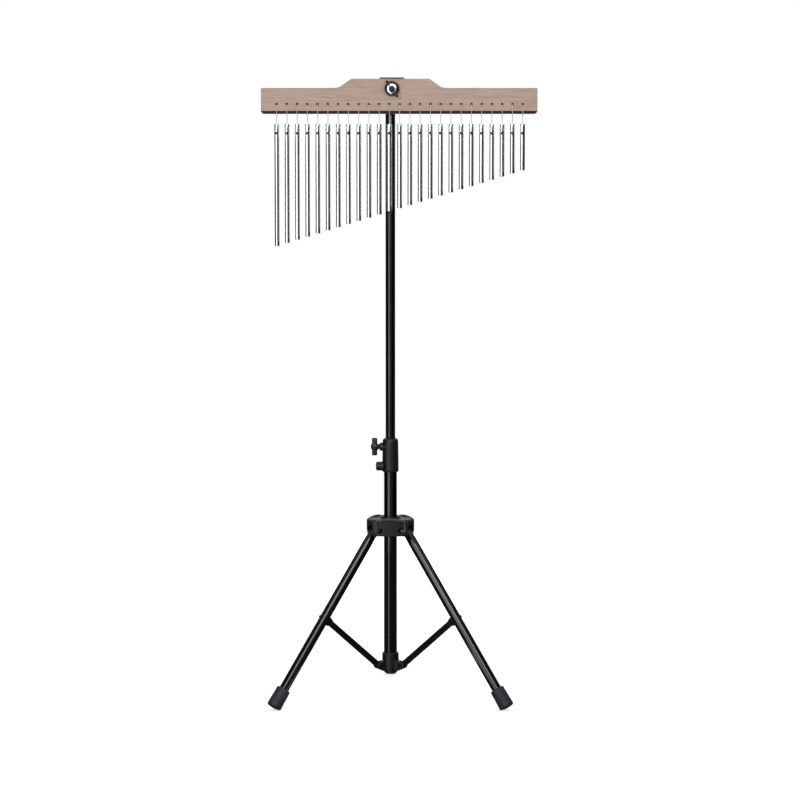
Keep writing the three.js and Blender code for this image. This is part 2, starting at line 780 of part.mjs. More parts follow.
// Joins rings of equal counts with side faces and closes both ends.
function loft(rings) {
  const count = rings[0].length;
  const positions = rings.flat().flatMap((p) => p.toArray());
  const index = [];
  for (let r = 0; r < rings.length - 1; r++) {
    for (let i = 0; i < count; i++) {
      const a = r * count + i;
      const b = r * count + ((i + 1) % count);
      index.push(a, b, a + count, b, b + count, a + count);
    }
  }
  const last = (rings.length - 1) * count;
  for (let i = 1; i < count - 1; i++) {
    index.push(0, i + 1, i);
    index.push(last, last + i, last + i + 1);
  }
  const geometry = new THREE.BufferGeometry();
  geometry.setAttribute("position", new THREE.Float32BufferAttribute(positions, 3));
  geometry.setIndex(index);
  return geometry;
}

// How far along a leg, from its pivot, the end of its foot lies.
const footCorner = footDiameter / 2 - footRound;
const footEnd =
  footRound + (legPivotHeight - footRound - footCorner * Math.sin(spread) + footFlatDepth) / Math.cos(spread);

// Leg in its own frame: the pivot at the origin and the tube down -Z. X points away from the post.
// A slotted eye lets the legs fold together, since their pivots don't keep quite the same radius.
function leg(slotted) {
  const tubeEnd = -(footEnd - footEndWall - gap);
  const radius = legDiameter / 2;
  const round = -(legEyeLength + legFlattening);
  const body = loft([
    pressedRing(legDiameter, legDiameter, tubeEnd, legSides),
    pressedRing(legDiameter, legDiameter, round, legSides),
    pressedRing(legEyeWidth, legEyeThickness, -legEyeLength, legSides),
    pressedRing(legEyeWidth, legEyeThickness, 0, legSides),
  ]);
  const eye = alongY(rod(legEyeWidth / 2, -legEyeThickness / 2, legEyeThickness / 2, legSides));
  const bore = rod(radius - legWall, tubeEnd - 1, round - 2, legSides);
  const hole = pinDiameter / 2 + gap + (slotted ? legPinSlack : 0);
  const slot = new THREE.Shape();
  if (slotted) {
    slot.absarc(legPinPlay, 0, hole, -Math.PI / 2, Math.PI / 2);
    slot.absarc(-legPinPlay, 0, hole, Math.PI / 2, 1.5 * Math.PI);
  } else {
    slot.absarc(0, 0, hole, 0, 2 * Math.PI);
  }
  const pinSlot = slab(slot, -legEyeThickness, legEyeThickness, 5).rotateY(rad(legPinTilt));
  const rivet = alongX(rod(smallPinDiameter / 2 + gap, -2 * radius, 2 * radius, 8));
  rivet.translate(0, 0, -bracePoint);
  return solid(body).add(solid(eye)).subtract(solid(bore)).subtract(solid(pinSlot)).subtract(solid(rivet));
}

// Turns a leg's own frame to its splayed place in the radial plane.
const legPlace = new THREE.Matrix4()
  .makeRotationY(-spread)
  .setPosition(legPivotRadius, 0, legPivotHeight);

// Rubber foot over the leg's end, worn flat where it meets the floor.
function foot() {
  const bore = legDiameter / 2 + gap;
  const mouth = footLength - footEnd;
  const rim = footDiameter / 2 - footTaper;
  const path = new THREE.Path();
  path.moveTo(0, -footEnd);
  path.absarc(footCorner, footRound - footEnd, footRound, -Math.PI / 2, 0);
  path.lineTo(rim, mouth - footLip);
  path.lineTo(rim - footLip, mouth);
  path.lineTo(bore, mouth);
  path.lineTo(bore, footEndWall - footEnd);
  path.lineTo(0, footEndWall - footEnd);
  const profile = path.getPoints(3).map((point) => point.toArray());
  const boot = solid(revolve(profile, 20)).transform(legPlace.elements);
  const floor = box(0, 2 * footEnd, -2 * footDiameter, 2 * footDiameter, -2 * footDiameter, 0);
  return boot.subtract(solid(floor));
}

// Hub: a socket under the outer post, with three forks for the braces.
function hub() {
  const radius = hubDiameter / 2;
  const bore = outerPostRadius + gap;
  const profile = [
    [0, hubBottom],
    [hubNose / 2, hubBottom],
    [(hubNose / 2 + radius) / 2, hubBottom + hubBowlHeight * 0.25],
    [radius, hubBottom + hubBowlHeight],
    [radius, hubTop - hubEdge],
    [radius - hubEdge, hubTop],
    [bore, hubTop],
    [bore, hubBottom + hubFloor],
    [0, hubBottom + hubFloor],
  ];
  let made = solid(revolve(profile, 24));
  const fork = braceWidth / 2 + gap + hubEarThickness;
  const mouth = braceWidth / 2 + gap;
  for (const degrees of Object.values(azimuths)) {
    const ear = new THREE.Shape();
    ear.moveTo(bore + 0.5, hubBottom + 5);
    ear.lineTo(hubPivotRadius + hubEarRadius * 0.6, hubPivotHeight - hubEarRadius * 0.8);
    ear.absarc(hubPivotRadius, hubPivotHeight, hubEarRadius, -0.295 * Math.PI, 0.5 * Math.PI);
    ear.lineTo(bore + 0.5, hubPivotHeight + hubEarRadius + 1.5);
    const back = hubPivotRadius - braceHeight / 2 - 2 * gap;
    const slot = box(back, 2 * hubPivotRadius, -mouth, mouth, 0, 2 * hubTop);
    const hole = alongY(rod(pinDiameter / 2 + gap, -fork - 1, fork + 1, 8));
    const shaft = hole.translate(hubPivotRadius, 0, hubPivotHeight);
    const forkSolid = solid(slab(ear, -fork, fork)).subtract(solid(slot)).subtract(solid(shaft));
    made = made.add(forkSolid.transform(toAzimuth(degrees)));
  }
  return made;
}

// Where the brace meets the leg's clip, in the radial plane.
const clipPlace = new THREE.Vector3(-clipPivot, 0, -bracePoint).applyMatrix4(legPlace);
const hubPlace = new THREE.Vector3(hubPivotRadius, 0, hubPivotHeight);
const braceVector = clipPlace.clone().sub(hubPlace);

// Brace: a pressed channel, open below, from the hub's fork to the leg's clip.
function brace() {
  const length = braceVector.length();
  const half = braceHeight / 2;
  const outline = new THREE.Shape();
  outline.absarc(0, 0, half, Math.PI / 2, 1.5 * Math.PI);
  outline.absarc(length, 0, half, -Math.PI / 2, Math.PI / 2);
  const inner = braceWidth / 2 - braceSheet;
  const channel = box(-braceHeight, length + braceHeight, -inner, inner, -braceHeight, half - braceSheet);
  const hubHole = alongY(rod(pinDiameter / 2 + gap, -braceWidth, braceWidth, 8));
  const clipHole = alongY(rod(smallPinDiameter / 2 + gap, -braceWidth, braceWidth, 8));
  clipHole.translate(length, 0, 0);
  const made = solid(slab(outline, -braceWidth / 2, braceWidth / 2))
    .subtract(solid(channel))
    .subtract(solid(hubHole))
    .subtract(solid(clipHole));
  const turn = new THREE.Matrix4().makeRotationY(-Math.atan2(braceVector.z, braceVector.x));
  return made.transform(turn.setPosition(hubPlace).elements);
}

// Clip: a saddle riveted through the leg, with two ears that hold the brace's end.
function legClip() {
  const radius = legDiameter / 2;
  const inner = braceWidth / 2 + gap;
  const outer = inner + clipSheet;
  const start = -(radius + gap);
  const half = clipLength / 2;
  const low = -bracePoint - half;
  const high = -bracePoint + half;
  const saddle = box(start - clipSheet, start + saddleDepth, -outer, outer, low, high);
  const leg = rod(radius + gap, -bracePoint - clipLength, -bracePoint + clipLength, legSides);
  const ear = new THREE.Shape();
  ear.moveTo(start, low);
  ear.lineTo(start, high);
  ear.lineTo(start - clipSheet, high);
  ear.absarc(-clipPivot, -bracePoint, clipEarRadius, 0.6 * Math.PI, 1.4 * Math.PI);
  ear.lineTo(start - clipSheet, low);
  const slot = box(-clipPivot - braceHeight, start - clipSheet, -inner, inner, low - half, high + half);
  const hole = alongY(rod(smallPinDiameter / 2 + gap, -outer - 1, outer + 1, 8));
  const rivet = alongX(
    revolve(
      [
        [0, start],
        [smallPinDiameter / 2, start],
        [smallPinDiameter / 2, radius + gap],
        [rivetHeadDiameter / 2, radius + gap],
        [rivetHeadDiameter / 2 - rivetHeadEdge, radius + gap + rivetHeadHeight],
        [0, radius + gap + rivetHeadHeight],
      ],
      8,
    ),
  );
  return solid(slab(ear, -outer, outer))
    .subtract(solid(slot))
    .add(solid(saddle))
    .subtract(solid(hole.translate(-clipPivot, 0, -bracePoint)))
    .subtract(solid(leg))
    .add(solid(rivet.translate(0, 0, -bracePoint)))
    .transform(legPlace.elements);
}

const crownPin = () => pin(pinDiameter / 2, crownPinGrip, pinHeadDiameter / 2, pinHeadHeight);
const hubPin = () =>
  pin(pinDiameter / 2, braceWidth / 2 + gap + hubEarThickness, pinHeadDiameter / 2, pinHeadHeight);
const clipPin = () =>
  pin(smallPinDiameter / 2, braceWidth / 2 + gap + clipSheet, smallPinHead / 2, smallPinHeadHeight);

// The assembly, on the post's axis with the floor at zero
const chime = new THREE.Group();

chime.add(
  piece("beam", beam(), wood),
  piece("beam_bracket", bracket(), steel),
  piece("clamp_cup_washer", cupWasher(), blackSteel),
  piece("clamp_dome_washer", domeWasher(), chrome),
  piece("clamp_screw", clampScrew(), blackSteel),
  piece("clamp_handle", clampHandle(), blackSteel),
  piece("inner_post", innerPost(), blackSteel),
  piece("inner_post_bush", innerPostBush(), blackPlastic),
  piece("outer_post", outerPost(), blackSteel),
  piece("clutch_collar", clutchCollar(), blackPlastic),
  piece("clutch_knob", clutchKnob(), blackPlastic),
  piece("clutch_bolt", clutchBolt(), steel),
  piece("crown", crown(), blackPlastic),
  piece("hub", hub(), blackPlastic),
);

for (const [side, degrees] of Object.entries(azimuths)) {
  const sector = new THREE.Group();
  sector.rotation.z = rad(degrees);
  const splayed = new THREE.Group();
  splayed.applyMatrix4(legPlace);
  splayed.add(piece("leg_" + side, leg(side !== carrier), blackSteel));
  const crownPinPiece = piece("crown_pin_" + side, solid(crownPin()), steel);
  crownPinPiece.position.set(legPivotRadius, 0, legPivotHeight);
  const hubPinPiece = piece("hub_pin_" + side, solid(hubPin()), blackSteel);
  hubPinPiece.position.copy(hubPlace);
  const clipPinPiece = piece("clip_pin_" + side, solid(clipPin()), blackSteel);
  clipPinPiece.position.copy(clipPlace);
  sector.add(
    splayed,
    piece("foot_" + side, foot(), rubber),
    piece("brace_" + side, brace(), blackSteel),
    piece("leg_clip_" + side, legClip(), blackSteel),
    crownPinPiece,
    hubPinPiece,
    clipPinPiece,
  );
  chime.add(sector);
}

for (let i = 0; i < barCount; i++) {
  const name = "bar_" + String(i + 1).padStart(2, "0");
  const made = piece(name, bar(barLength(i)), aluminium);
  made.position.set(barX(i), beamMiddle, holeHeight);
  chime.add(made);
}

// The origin is on the floor, under the middle of the whole object.
chime.updateMatrixWorld(true);
const bounds = new THREE.Box3().setFromObject(chime);
const middle = bounds.getCenter(new THREE.Vector3());
chime.position.set(-middle.x, -middle.y, -bounds.min.z);

export default chime;
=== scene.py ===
"""Dresses a bar chime on a folding tripod stand: bars, cords, beam, clamp, posts, clutch and legs."""

import json
import math

import bmesh
import bpy
from mathutils import Matrix, Vector


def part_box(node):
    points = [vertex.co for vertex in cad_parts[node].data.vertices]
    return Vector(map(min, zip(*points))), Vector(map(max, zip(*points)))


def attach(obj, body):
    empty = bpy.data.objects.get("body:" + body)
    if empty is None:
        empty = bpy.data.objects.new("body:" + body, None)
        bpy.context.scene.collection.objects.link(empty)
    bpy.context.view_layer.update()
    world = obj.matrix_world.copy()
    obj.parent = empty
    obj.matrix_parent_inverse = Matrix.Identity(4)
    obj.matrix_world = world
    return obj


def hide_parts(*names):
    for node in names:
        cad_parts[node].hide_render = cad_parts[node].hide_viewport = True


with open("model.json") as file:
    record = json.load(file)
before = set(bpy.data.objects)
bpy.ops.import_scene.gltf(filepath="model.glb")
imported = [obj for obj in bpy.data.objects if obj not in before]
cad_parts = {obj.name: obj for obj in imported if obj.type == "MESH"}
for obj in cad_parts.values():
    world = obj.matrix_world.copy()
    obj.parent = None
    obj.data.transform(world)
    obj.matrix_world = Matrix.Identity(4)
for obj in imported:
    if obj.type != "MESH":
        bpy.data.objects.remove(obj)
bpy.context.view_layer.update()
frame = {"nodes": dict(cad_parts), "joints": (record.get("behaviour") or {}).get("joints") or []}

bl_info = {
    "name": "Bar Chime Dresser",
    "version": (1, 0, 0),
    "blender": (4, 5, 0),
    "location": "3D View > Sidebar > Chime",
    "description": "Makes the bars, beam and stand of a bar chime with their finishes",
    "category": "Object",
}

MM = 0.001
ROUND_SIDES = 64
SHARP = math.radians(32)  # folds above this angle are shown as crisp edges
FLAT = math.radians(1)  # faces that differ less are joined into one
FOLD = math.radians(38)  # folds above this angle are rounded on copied solids
SEAT = 0.3 * MM  # between faces that rest on each other
PATTERN_LENGTH = 80 * MM  # of the one bar that all bars are drawn out from
SENSOR = 36.0
WHITE = (1.0, 1.0, 1.0, 1.0)

# Where each leg points, in degrees about the post
SIDES = {"left": 210.0, "right": 330.0, "rear": 90.0}

BARS = sorted(name for name in frame["nodes"] if name.startswith("bar_"))
JOINTS = {joint["name"]: joint for joint in frame["joints"]}
HOLES = {bar: Vector(JOINTS[bar + "_swing"]["pos_m"]) for bar in BARS}

POST_LOW, POST_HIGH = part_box("outer_post")
POST_AXIS = Vector(((POST_LOW.x + POST_HIGH.x) / 2, (POST_LOW.y + POST_HIGH.y) / 2, 0.0))
BEAM_LOW, BEAM_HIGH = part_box("beam")
BEAM_MIDDLE = (BEAM_LOW.y + BEAM_HIGH.y) / 2

# The clamp's washers: radius and height in millimetres, from the beam's face outwards
CUP_WASHER = [(4.3, 0), (14.4, 0), (14.4, 4.4), (13.6, 4.6), (11.9, 4.6), (11.2, 1.6), (4.3, 1.6)]
DOME_WASHER = [(4.3, 1.9), (10.9, 1.9), (10.7, 3.3), (8.4, 4.8), (6.3, 5.3), (4.3, 5.3)]

# The clamp's handle: radius of its balls and its rod, and half the length between the balls
HANDLE_BALL = 2.8 * MM
HANDLE_ROD = 1.6 * MM
HANDLE_HALF = 16.5 * MM

# Soft lamps: name, place from the middle of the post, side in metres, share of the power
LAMPS = (
    ("KeyPanel", (-1.2, -3.0, 1.4), 1.6, 1.4),
    ("FillPanel", (2.4, -1.6, 1.0), 1.4, 0.4),
    ("RearPanel", (0.6, 2.8, 1.4), 1.6, 1.3),
)
LAMP_CENTRE = 0.7

# Upright panels that only gloss sees: name, start and end in degrees from the front, low and high
# edge in metres, strength
GLOSS_WALLS = (
    ("GlossLeftEdge", -52, -44, -0.9, 1.4, 0.6),
    ("GlossLeft", -44, -18, -0.9, 1.4, 4.5),
    ("GlossMiddle", -18, 4, -0.9, 1.4, 0.5),
    ("GlossRight", 4, 38, -0.9, 1.4, 0.3),
    ("GlossUpper", -24, 24, 1.4, 2.6, 9.0),
    ("GlossUpperRight", 24, 38, 1.4, 2.6, 0.1),
    ("GlossUpperLeft", -52, -24, 1.4, 2.6, 0.1),
    ("GlossDarkRight", 38, 135, -0.9, 2.6, 0.0),
    ("GlossDarkLeft", -135, -52, -0.9, 2.6, 0.0),
)
WALL_RADIUS = 2.8
WALL_STEPS = 12

# Sectors on the floor that only gloss sees: name, start and end in degrees from the front, strength
GLOSS_FLOORS = (
    ("GlossFloorLeft", -40, -20, 2.6),
    ("GlossFloorRest", -20, 320, 0.1),
)
FLOOR_RADII = (0.02, 2.7)
FLOOR_LIFT = 0.5 * MM
FLOOR_STEPS = 24


def size(label, value, about):
    """A length in metres that the panel shows."""
    return bpy.props.FloatProperty(
        name=label, description=about, default=value, unit="LENGTH", precision=5
    )


def tint(label, value, about):
    """A linear colour that the panel shows."""
    return bpy.props.FloatVectorProperty(
        name=label, description=about, default=value, size=3, min=0.0, max=1.0, subtype="COLOR"
    )


def share(label, value, about):
    """A plain number from nought to one."""
    return bpy.props.FloatProperty(
        name=label, description=about, default=value, min=0.0, max=1.0, subtype="FACTOR"
    )


class ChimeStageSettings(bpy.types.PropertyGroup):
    camera_distance: size("Camera distance", 7.0, "From the post to the camera, along the floor")
    camera_height: size("Camera height", 1.36, "Of the camera above the floor")
    view_height: size("View height", 0.5851, "Of the point at the picture's middle")
    view_shift: size("View shift", 0.0186, "Of that point, right of the post")
    frame_width: size("Frame width", 1.5508, "What the picture spans at the post")
    floor_colour: tint("Floor", (0.85, 0.85, 0.85), "Colour of the floor")
    floor_reach: size("Floor reach", 2.2, "Radius of the floor")
    floor_glow: share("Floor glow", 0.55, "Of the floor by the feet, where it is looked at")
    sky_strength: share("Sky", 0.42, "Soft light from all round")
    lamp_power: bpy.props.FloatProperty(
        name="Lamps", description="Power of the soft lamps", default=28.0, min=0.0
    )


class ChimeBarSettings(bpy.types.PropertyGroup):
    bar_diameter: size("Bar diameter", 9.5 * MM, "Of the aluminium bars")
    bore_diameter: size("Bore diameter", 6.4 * MM, "Of the hole in a bar's top")
    bore_depth: size("Bore depth", 22 * MM, "Of the hole in a bar's top")
    bar_drop: size("Drop", 38.2 * MM, "From a beam hole down to the bar's top")
    pin_drop: size("Pin drop", 17.5 * MM, "From the bar's top down to its cross pin")
    pin_diameter: size("Pin diameter", 4.0 * MM, "Of the cross pin that holds the cord")
    cord_diameter: size("Cord diameter", 1.1 * MM, "Of the nylon cord")
    metal: tint("Bar metal", (0.66, 0.67, 0.69), "Colour of the polished aluminium")
    cord: tint("Cord", (0.74, 0.68, 0.64), "Colour of the nylon cord")


class ChimeBeamSettings(bpy.types.PropertyGroup):
    end_height: size("End height", 49.5 * MM, "Of the beam at its ends")
    hump_flat: size("Hump", 150 * MM, "Level length on top of the hump")
    shoulder_run: size("Shoulder run", 37 * MM, "From the hump's edge to the low top edge")
    shoulder_curve: size("Shoulder curve", 18 * MM, "Hollow part of that run")
    shoulder_step: size("Shoulder step", 3.9 * MM, "Height at which the hollow part begins")
    corner: size("Corner", 7 * MM, "Radius of the lower corners")
    chamfer_height: size("Chamfer height", 6.5 * MM, "Of the cut along the lower edges")
    chamfer_depth: size("Chamfer depth", 5 * MM, "Of the cut along the lower edges")
    hole_height: size("Hole height", 19 * MM, "Of the cord holes above the underside")
    mouth_diameter: size("Hole mouth", 3.8 * MM, "Of the cord holes, where they open")
    mouth_depth: size("Mouth depth", 6 * MM, "Of a cord hole's wide end")
    neck_diameter: size("Hole neck", 1.5 * MM, "Of the cord holes, deep in the wood")
    edge: size("Edge", 0.6 * MM, "Rounding of every edge and hole")
    bolt_diameter: size("Bolt hole", 8.6 * MM, "Of the clamp's hole")
    light_wood: tint("Light wood", (0.54, 0.395, 0.33), "The wood between its grain")
    dark_wood: tint("Dark wood", (0.42, 0.29, 0.235), "The wood's grain")
    pores: tint("Pores", (0.33, 0.20, 0.14), "The wood's fine dark flecks")
    # Painted shade: this dark brown on the lower chamfers and in the cord holes stands for the shade
    # that falls there
    painted_shade: tint("Stain", (0.032, 0.016, 0.012), "Dark brown of the lower edges and the holes")


class ChimeStandSettings(bpy.types.PropertyGroup):
    enamel: tint("Enamel", (0.0016, 0.0016, 0.0022), "Gloss black of the tubes")
    plastic: tint("Plastic", (0.0055, 0.0055, 0.008), "Moulded black of the fittings")
    # Painted highlight: the beads round the crown's panels are coloured paler than the plastic, for the
    # light that their rims catch from above
    lip_highlight: tint("Rubbed plastic", (0.040, 0.040, 0.047), "Of the beads round the crown's panels")
    rubber: tint("Rubber", (0.016, 0.020, 0.027), "Of the feet")
    steel: tint("Steel", (0.17, 0.165, 0.16), "Of the bolt and the crown's pins")
    bracket: tint("Bracket", (0.055, 0.056, 0.048), "Of the bracket behind the beam")
    tube_wall: size("Tube wall", 1.2 * MM, "Of the posts")
    panel_width: size("Crown panel", 60 * MM, "Width of the crown's three panels")
    panel_arch: size("Panel arch", 6 * MM, "From a panel's upper corners to its highest point")
    panel_corner: size("Panel corner", 9 * MM, "From the crown's underside to the end of the bead")
    bead: size("Bead", 2.2 * MM, "Radius of the bead round a panel, most of it sunk in")


# Meshes


def new_piece(name, mesh, material, body, slot, *nodes):
    """Places a finished mesh as a piece of the chime that stands for its nodes."""
    piece = bpy.data.objects.new(name, mesh)
    bpy.context.scene.collection.objects.link(piece)
    mesh.materials.clear()
    mesh.materials.append(material)
    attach(piece, body)
    if nodes:
        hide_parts(*nodes)
    return piece


def mesh_of(builder, name):
    """Closes a bmesh into a mesh with smooth faces and crisp edges."""
    bmesh.ops.remove_doubles(builder, verts=builder.verts, dist=1e-7)
    bmesh.ops.recalc_face_normals(builder, faces=builder.faces)
    mesh = bpy.data.meshes.new(name)
    builder.to_mesh(mesh)
    builder.free()
    mesh.shade_smooth()
    mesh.set_sharp_from_angle(angle=SHARP)
    return mesh


def fillet(points, radius, steps=4):
    """Rounds the inner corners of an open polyline of 2D points."""
    rounded = [points[0]]
    for before, corner, after in zip(points, points[1:], points[2:]):
        before, corner, after = Vector(before), Vector(corner), Vector(after)
        back = before - corner
        ahead = after - corner
        turn = back.angle(ahead, math.pi)
        if turn > math.radians(172) or radius <= 0:
            rounded.append(tuple(corner))
            continue
        reach = min(radius / math.tan(turn / 2), 0.45 * back.length, 0.45 * ahead.length)
        start = corner + back.normalized() * reach
        end = corner + ahead.normalized() * reach
        for step in range(steps + 1):
            t = step / steps
            rounded.append(tuple((1 - t) ** 2 * start + 2 * t * (1 - t) * corner + t**2 * end))
    rounded.append(points[-1])
    return rounded


def lathe(profile, sides=ROUND_SIDES):
    """Revolves (radius, height) points about Z. A profile off the axis closes on itself."""
    builder = bmesh.new()
    closed = profile[0][0] > 1e-9
    rings = []
    for radius, height in profile:
        if radius < 1e-9:
            rings.append([builder.verts.new((0, 0, height))])
            continue
        ring = []
        for side in range(sides):
            angle = 2 * math.pi * side / sides
            ring.append(builder.verts.new((radius * math.cos(angle), radius * math.sin(angle), height)))
        rings.append(ring)
    pairs = list(zip(rings, rings[1:]))
    if closed:
        pairs.append((rings[-1], rings[0]))
    for low, high in pairs:
        for side in range(sides):
            after = (side + 1) % sides
            if len(low) == 1 and len(high) == 1:
                continue
            if len(low) == 1:
                builder.faces.new((low[0], high[side], high[after]))
            elif len(high) == 1:
                builder.faces.new((low[side], low[after], high[0]))
            else:
                builder.faces.new((low[side], low[after], high[after], high[side]))
    return builder


def closed_fillet(points, radius, steps=4):
    """Rounds every corner of a closed profile."""
    around = [points[-1], *points, points[0]]
    return fillet(around, radius, steps)[1:-1]


def both_ways(profile):
    """A profile and its mirror image below, as one."""
    return [(radius, -height) for radius, height in reversed(profile)] + profile


def turned(profile, name, place, sides=ROUND_SIDES):
    """A lathed mesh put in its place by a matrix."""
    builder = lathe(profile, sides)
    bmesh.ops.transform(builder, matrix=place, verts=builder.verts)
    return mesh_of(builder, name)


def at(point, axis="Z"):
    """A matrix that puts Z along the named axis at a point."""
    turn = {
        "Z": Matrix.Identity(4),
        "-Y": Matrix.Rotation(math.radians(90), 4, "X"),
        "Y": Matrix.Rotation(math.radians(-90), 4, "X"),
    }[axis]
    return Matrix.Translation(point) @ turn


def middle(node):
    """The middle of a node's box."""
    low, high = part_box(node)
    return (low + high) / 2


def sweep(points, radius, sides=10, across=Vector((1, 0, 0))):
    """A tube along a path in the plane that the across vector stands on."""
    builder = bmesh.new()
    rings = []
    count = len(points)
    for index, point in enumerate(points):
        before = points[max(index - 1, 0)]
        after = points[min(index + 1, count - 1)]
        along = (after - before).normalized()
        other = along.cross(across)
        ring = []
        for side in range(sides):
            angle = 2 * math.pi * side / sides
            out = math.cos(angle) * across + math.sin(angle) * other
            ring.append(builder.verts.new(point + radius * out))
        rings.append(ring)
    for low, high in zip(rings, rings[1:]):
        for side in range(sides):
            after = (side + 1) % sides
            builder.faces.new((low[side], low[after], high[after], high[side]))
    builder.faces.new(rings[0])
    builder.faces.new(rings[-1])
    return builder


def cut(mesh, *cutters):
    """Cuts closed meshes out of a mesh and gives the result."""
    scene = bpy.context.scene
    target = bpy.data.objects.new("cut_target", mesh)
    scene.collection.objects.link(target)
    tools = []
    for index, cutter in enumerate(cutters):
        tool = bpy.data.objects.new(f"cut_tool_{index}", cutter)
        scene.collection.objects.link(tool)
        modifier = target.modifiers.new(f"cut_{index}", "BOOLEAN")
        modifier.operation = "DIFFERENCE"
        modifier.solver = "EXACT"
        modifier.object = tool
        tools.append(tool)
    result = evaluated(target)
    for extra in [target, *tools]:
        bpy.data.objects.remove(extra)
    return result


def evaluated(piece):
    """The mesh of an object with its modifiers applied."""
    bpy.context.view_layer.update()
    graph = bpy.context.evaluated_depsgraph_get()
    return bpy.data.meshes.new_from_object(piece.evaluated_get(graph), depsgraph=graph)


def crisp(mesh, angle):
    """The mesh with smooth edges that leave its broad faces flat."""
    mesh.shade_smooth()
    mesh.set_sharp_from_angle(angle=angle)
    piece = bpy.data.objects.new("crisp", mesh)
    bpy.context.scene.collection.objects.link(piece)
    weigh = piece.modifiers.new("weigh", "WEIGHTED_NORMAL")
    weigh.weight = 100
    weigh.keep_sharp = True
    result = evaluated(piece)
    bpy.data.objects.remove(piece)
    return result


def softened(node, width=0.35 * MM, voxel=None, smooth=0):
    """A copy of a node's mesh with rounded edges: bevelled, or remeshed where it is a moulding."""
    copy = frame["nodes"][node].data.copy()
    builder = bmesh.new()
    builder.from_mesh(copy)
    bmesh.ops.remove_doubles(builder, verts=builder.verts, dist=1e-6)
    bmesh.ops.dissolve_limit(builder, angle_limit=FLAT, verts=builder.verts, edges=builder.edges)
    builder.to_mesh(copy)
    builder.free()
    piece = bpy.data.objects.new("soft_" + node, copy)
    bpy.context.scene.collection.objects.link(piece)
    if voxel:
        remesh = piece.modifiers.new("remesh", "REMESH")
        remesh.mode = "VOXEL"
        remesh.voxel_size = voxel
        relax = piece.modifiers.new("relax", "SMOOTH")
        relax.factor = 0.5
        relax.iterations = smooth
    else:
        bevel = piece.modifiers.new("bevel", "BEVEL")
        bevel.width = width
        bevel.segments = 2
        bevel.limit_method = "ANGLE"
        bevel.angle_limit = FOLD
    mesh = evaluated(piece)
    bpy.data.objects.remove(piece)
    if voxel:
        mesh.shade_smooth()
        return mesh
    return crisp(mesh, FOLD)


def dressed(name, node, material, body, slot, **softening):
    """A piece in its node's own shape, with softened edges."""
    return new_piece(name, softened(node, **softening), material, body, slot, node)


# Finishes


def node_group(name, inputs, outputs):
    """An empty shader group with named sockets."""
    group = bpy.data.node_groups.new(name, "ShaderNodeTree")
    for label, kind, value in inputs:
        socket = group.interface.new_socket(name=label, in_out="INPUT", socket_type=kind)
        socket.default_value = value
    for label, kind in outputs:
        group.interface.new_socket(name=label, in_out="OUTPUT", socket_type=kind)
    start = group.nodes.new("NodeGroupInput")
    end = group.nodes.new("NodeGroupOutput")
    return group, start, end


def put(node, **values):
    """Sets a shader node's inputs. An underscore stands for a space."""
    for label, value in values.items():
        node.inputs[label.replace("_", " ")].default_value = value
    return node


def placed(tree, kind, **values):
    """A new shader node with its input values."""
    return put(tree.nodes.new("ShaderNode" + kind), **values)


def maths(tree, operation, *values):
    """A Math node with values or links."""
    node = placed(tree, "Math")
    node.operation = operation
    for index, value in enumerate(values):
        if isinstance(value, bpy.types.NodeSocket):
            tree.links.new(value, node.inputs[index])
        else:
            node.inputs[index].default_value = value
    return node.outputs[0]


def mottle_group():
    """Soft blotches: the slow unevenness of a lacquered or moulded surface."""
    group, start, end = node_group(
        "SurfaceMottle",
        [
            ("Scale", "NodeSocketFloat", 60.0),
            ("Low", "NodeSocketFloat", 0.0),
            ("High", "NodeSocketFloat", 1.0),
        ],
        [("Value", "NodeSocketFloat")],
    )
    where = placed(group, "TexCoord")
    noise = placed(group, "TexNoise", Detail=4.0)
    span = placed(group, "MapRange", From_Min=0.3, From_Max=0.7)
    group.links.new(where.outputs["Object"], noise.inputs["Vector"])
    group.links.new(start.outputs["Scale"], noise.inputs["Scale"])
    group.links.new(noise.outputs["Fac"], span.inputs["Value"])
    group.links.new(start.outputs["Low"], span.inputs["To Min"])
    group.links.new(start.outputs["High"], span.inputs["To Max"])
    group.links.new(span.outputs["Result"], end.inputs["Value"])
    return group


def streak_group():
    """Fine lines drawn out along one axis: drawn metal, or the grain of wood."""
    group, start, end = node_group(
        "DrawnStreaks",
        [("Stretch", "NodeSocketVector", (1.0, 1.0, 1.0)), ("Scale", "NodeSocketFloat", 400.0)],
        [("Value", "NodeSocketFloat")],
    )
    where = placed(group, "TexCoord")
    scale = placed(group, "Mapping")
    noise = placed(group, "TexNoise", Detail=6.0, Roughness=0.6)
    group.links.new(where.outputs["Object"], scale.inputs["Vector"])
    group.links.new(start.outputs["Stretch"], scale.inputs["Scale"])
    group.links.new(scale.outputs["Vector"], noise.inputs["Vector"])
    group.links.new(start.outputs["Scale"], noise.inputs["Scale"])
    group.links.new(noise.outputs["Fac"], end.inputs["Value"])
    return group


def wear_group():
    """A mask that is one along worn outer edges."""
    group, start, end = node_group(
        "EdgeWear",
        [("From", "NodeSocketFloat", 0.52), ("To", "NodeSocketFloat", 0.62)],
        [("Mask", "NodeSocketFloat")],
    )
    shape = placed(group, "NewGeometry")
    where = placed(group, "TexCoord")
    noise = placed(group, "TexNoise", Scale=180.0)
    span = placed(group, "MapRange")
    group.links.new(shape.outputs["Pointiness"], span.inputs["Value"])
    group.links.new(start.outputs["From"], span.inputs["From Min"])
    group.links.new(start.outputs["To"], span.inputs["From Max"])
    group.links.new(where.outputs["Object"], noise.inputs["Vector"])
    worn = maths(group, "MULTIPLY", span.outputs["Result"], noise.outputs["Fac"])
    group.links.new(worn, end.inputs["Mask"])
    return group


def use(tree, name, maker, **values):
    """What a shared group, made once, puts out in a material with its own values."""
    node = placed(tree, "Group")
    node.node_tree = bpy.data.node_groups.get(name) or maker()
    return put(node, **values).outputs[0]


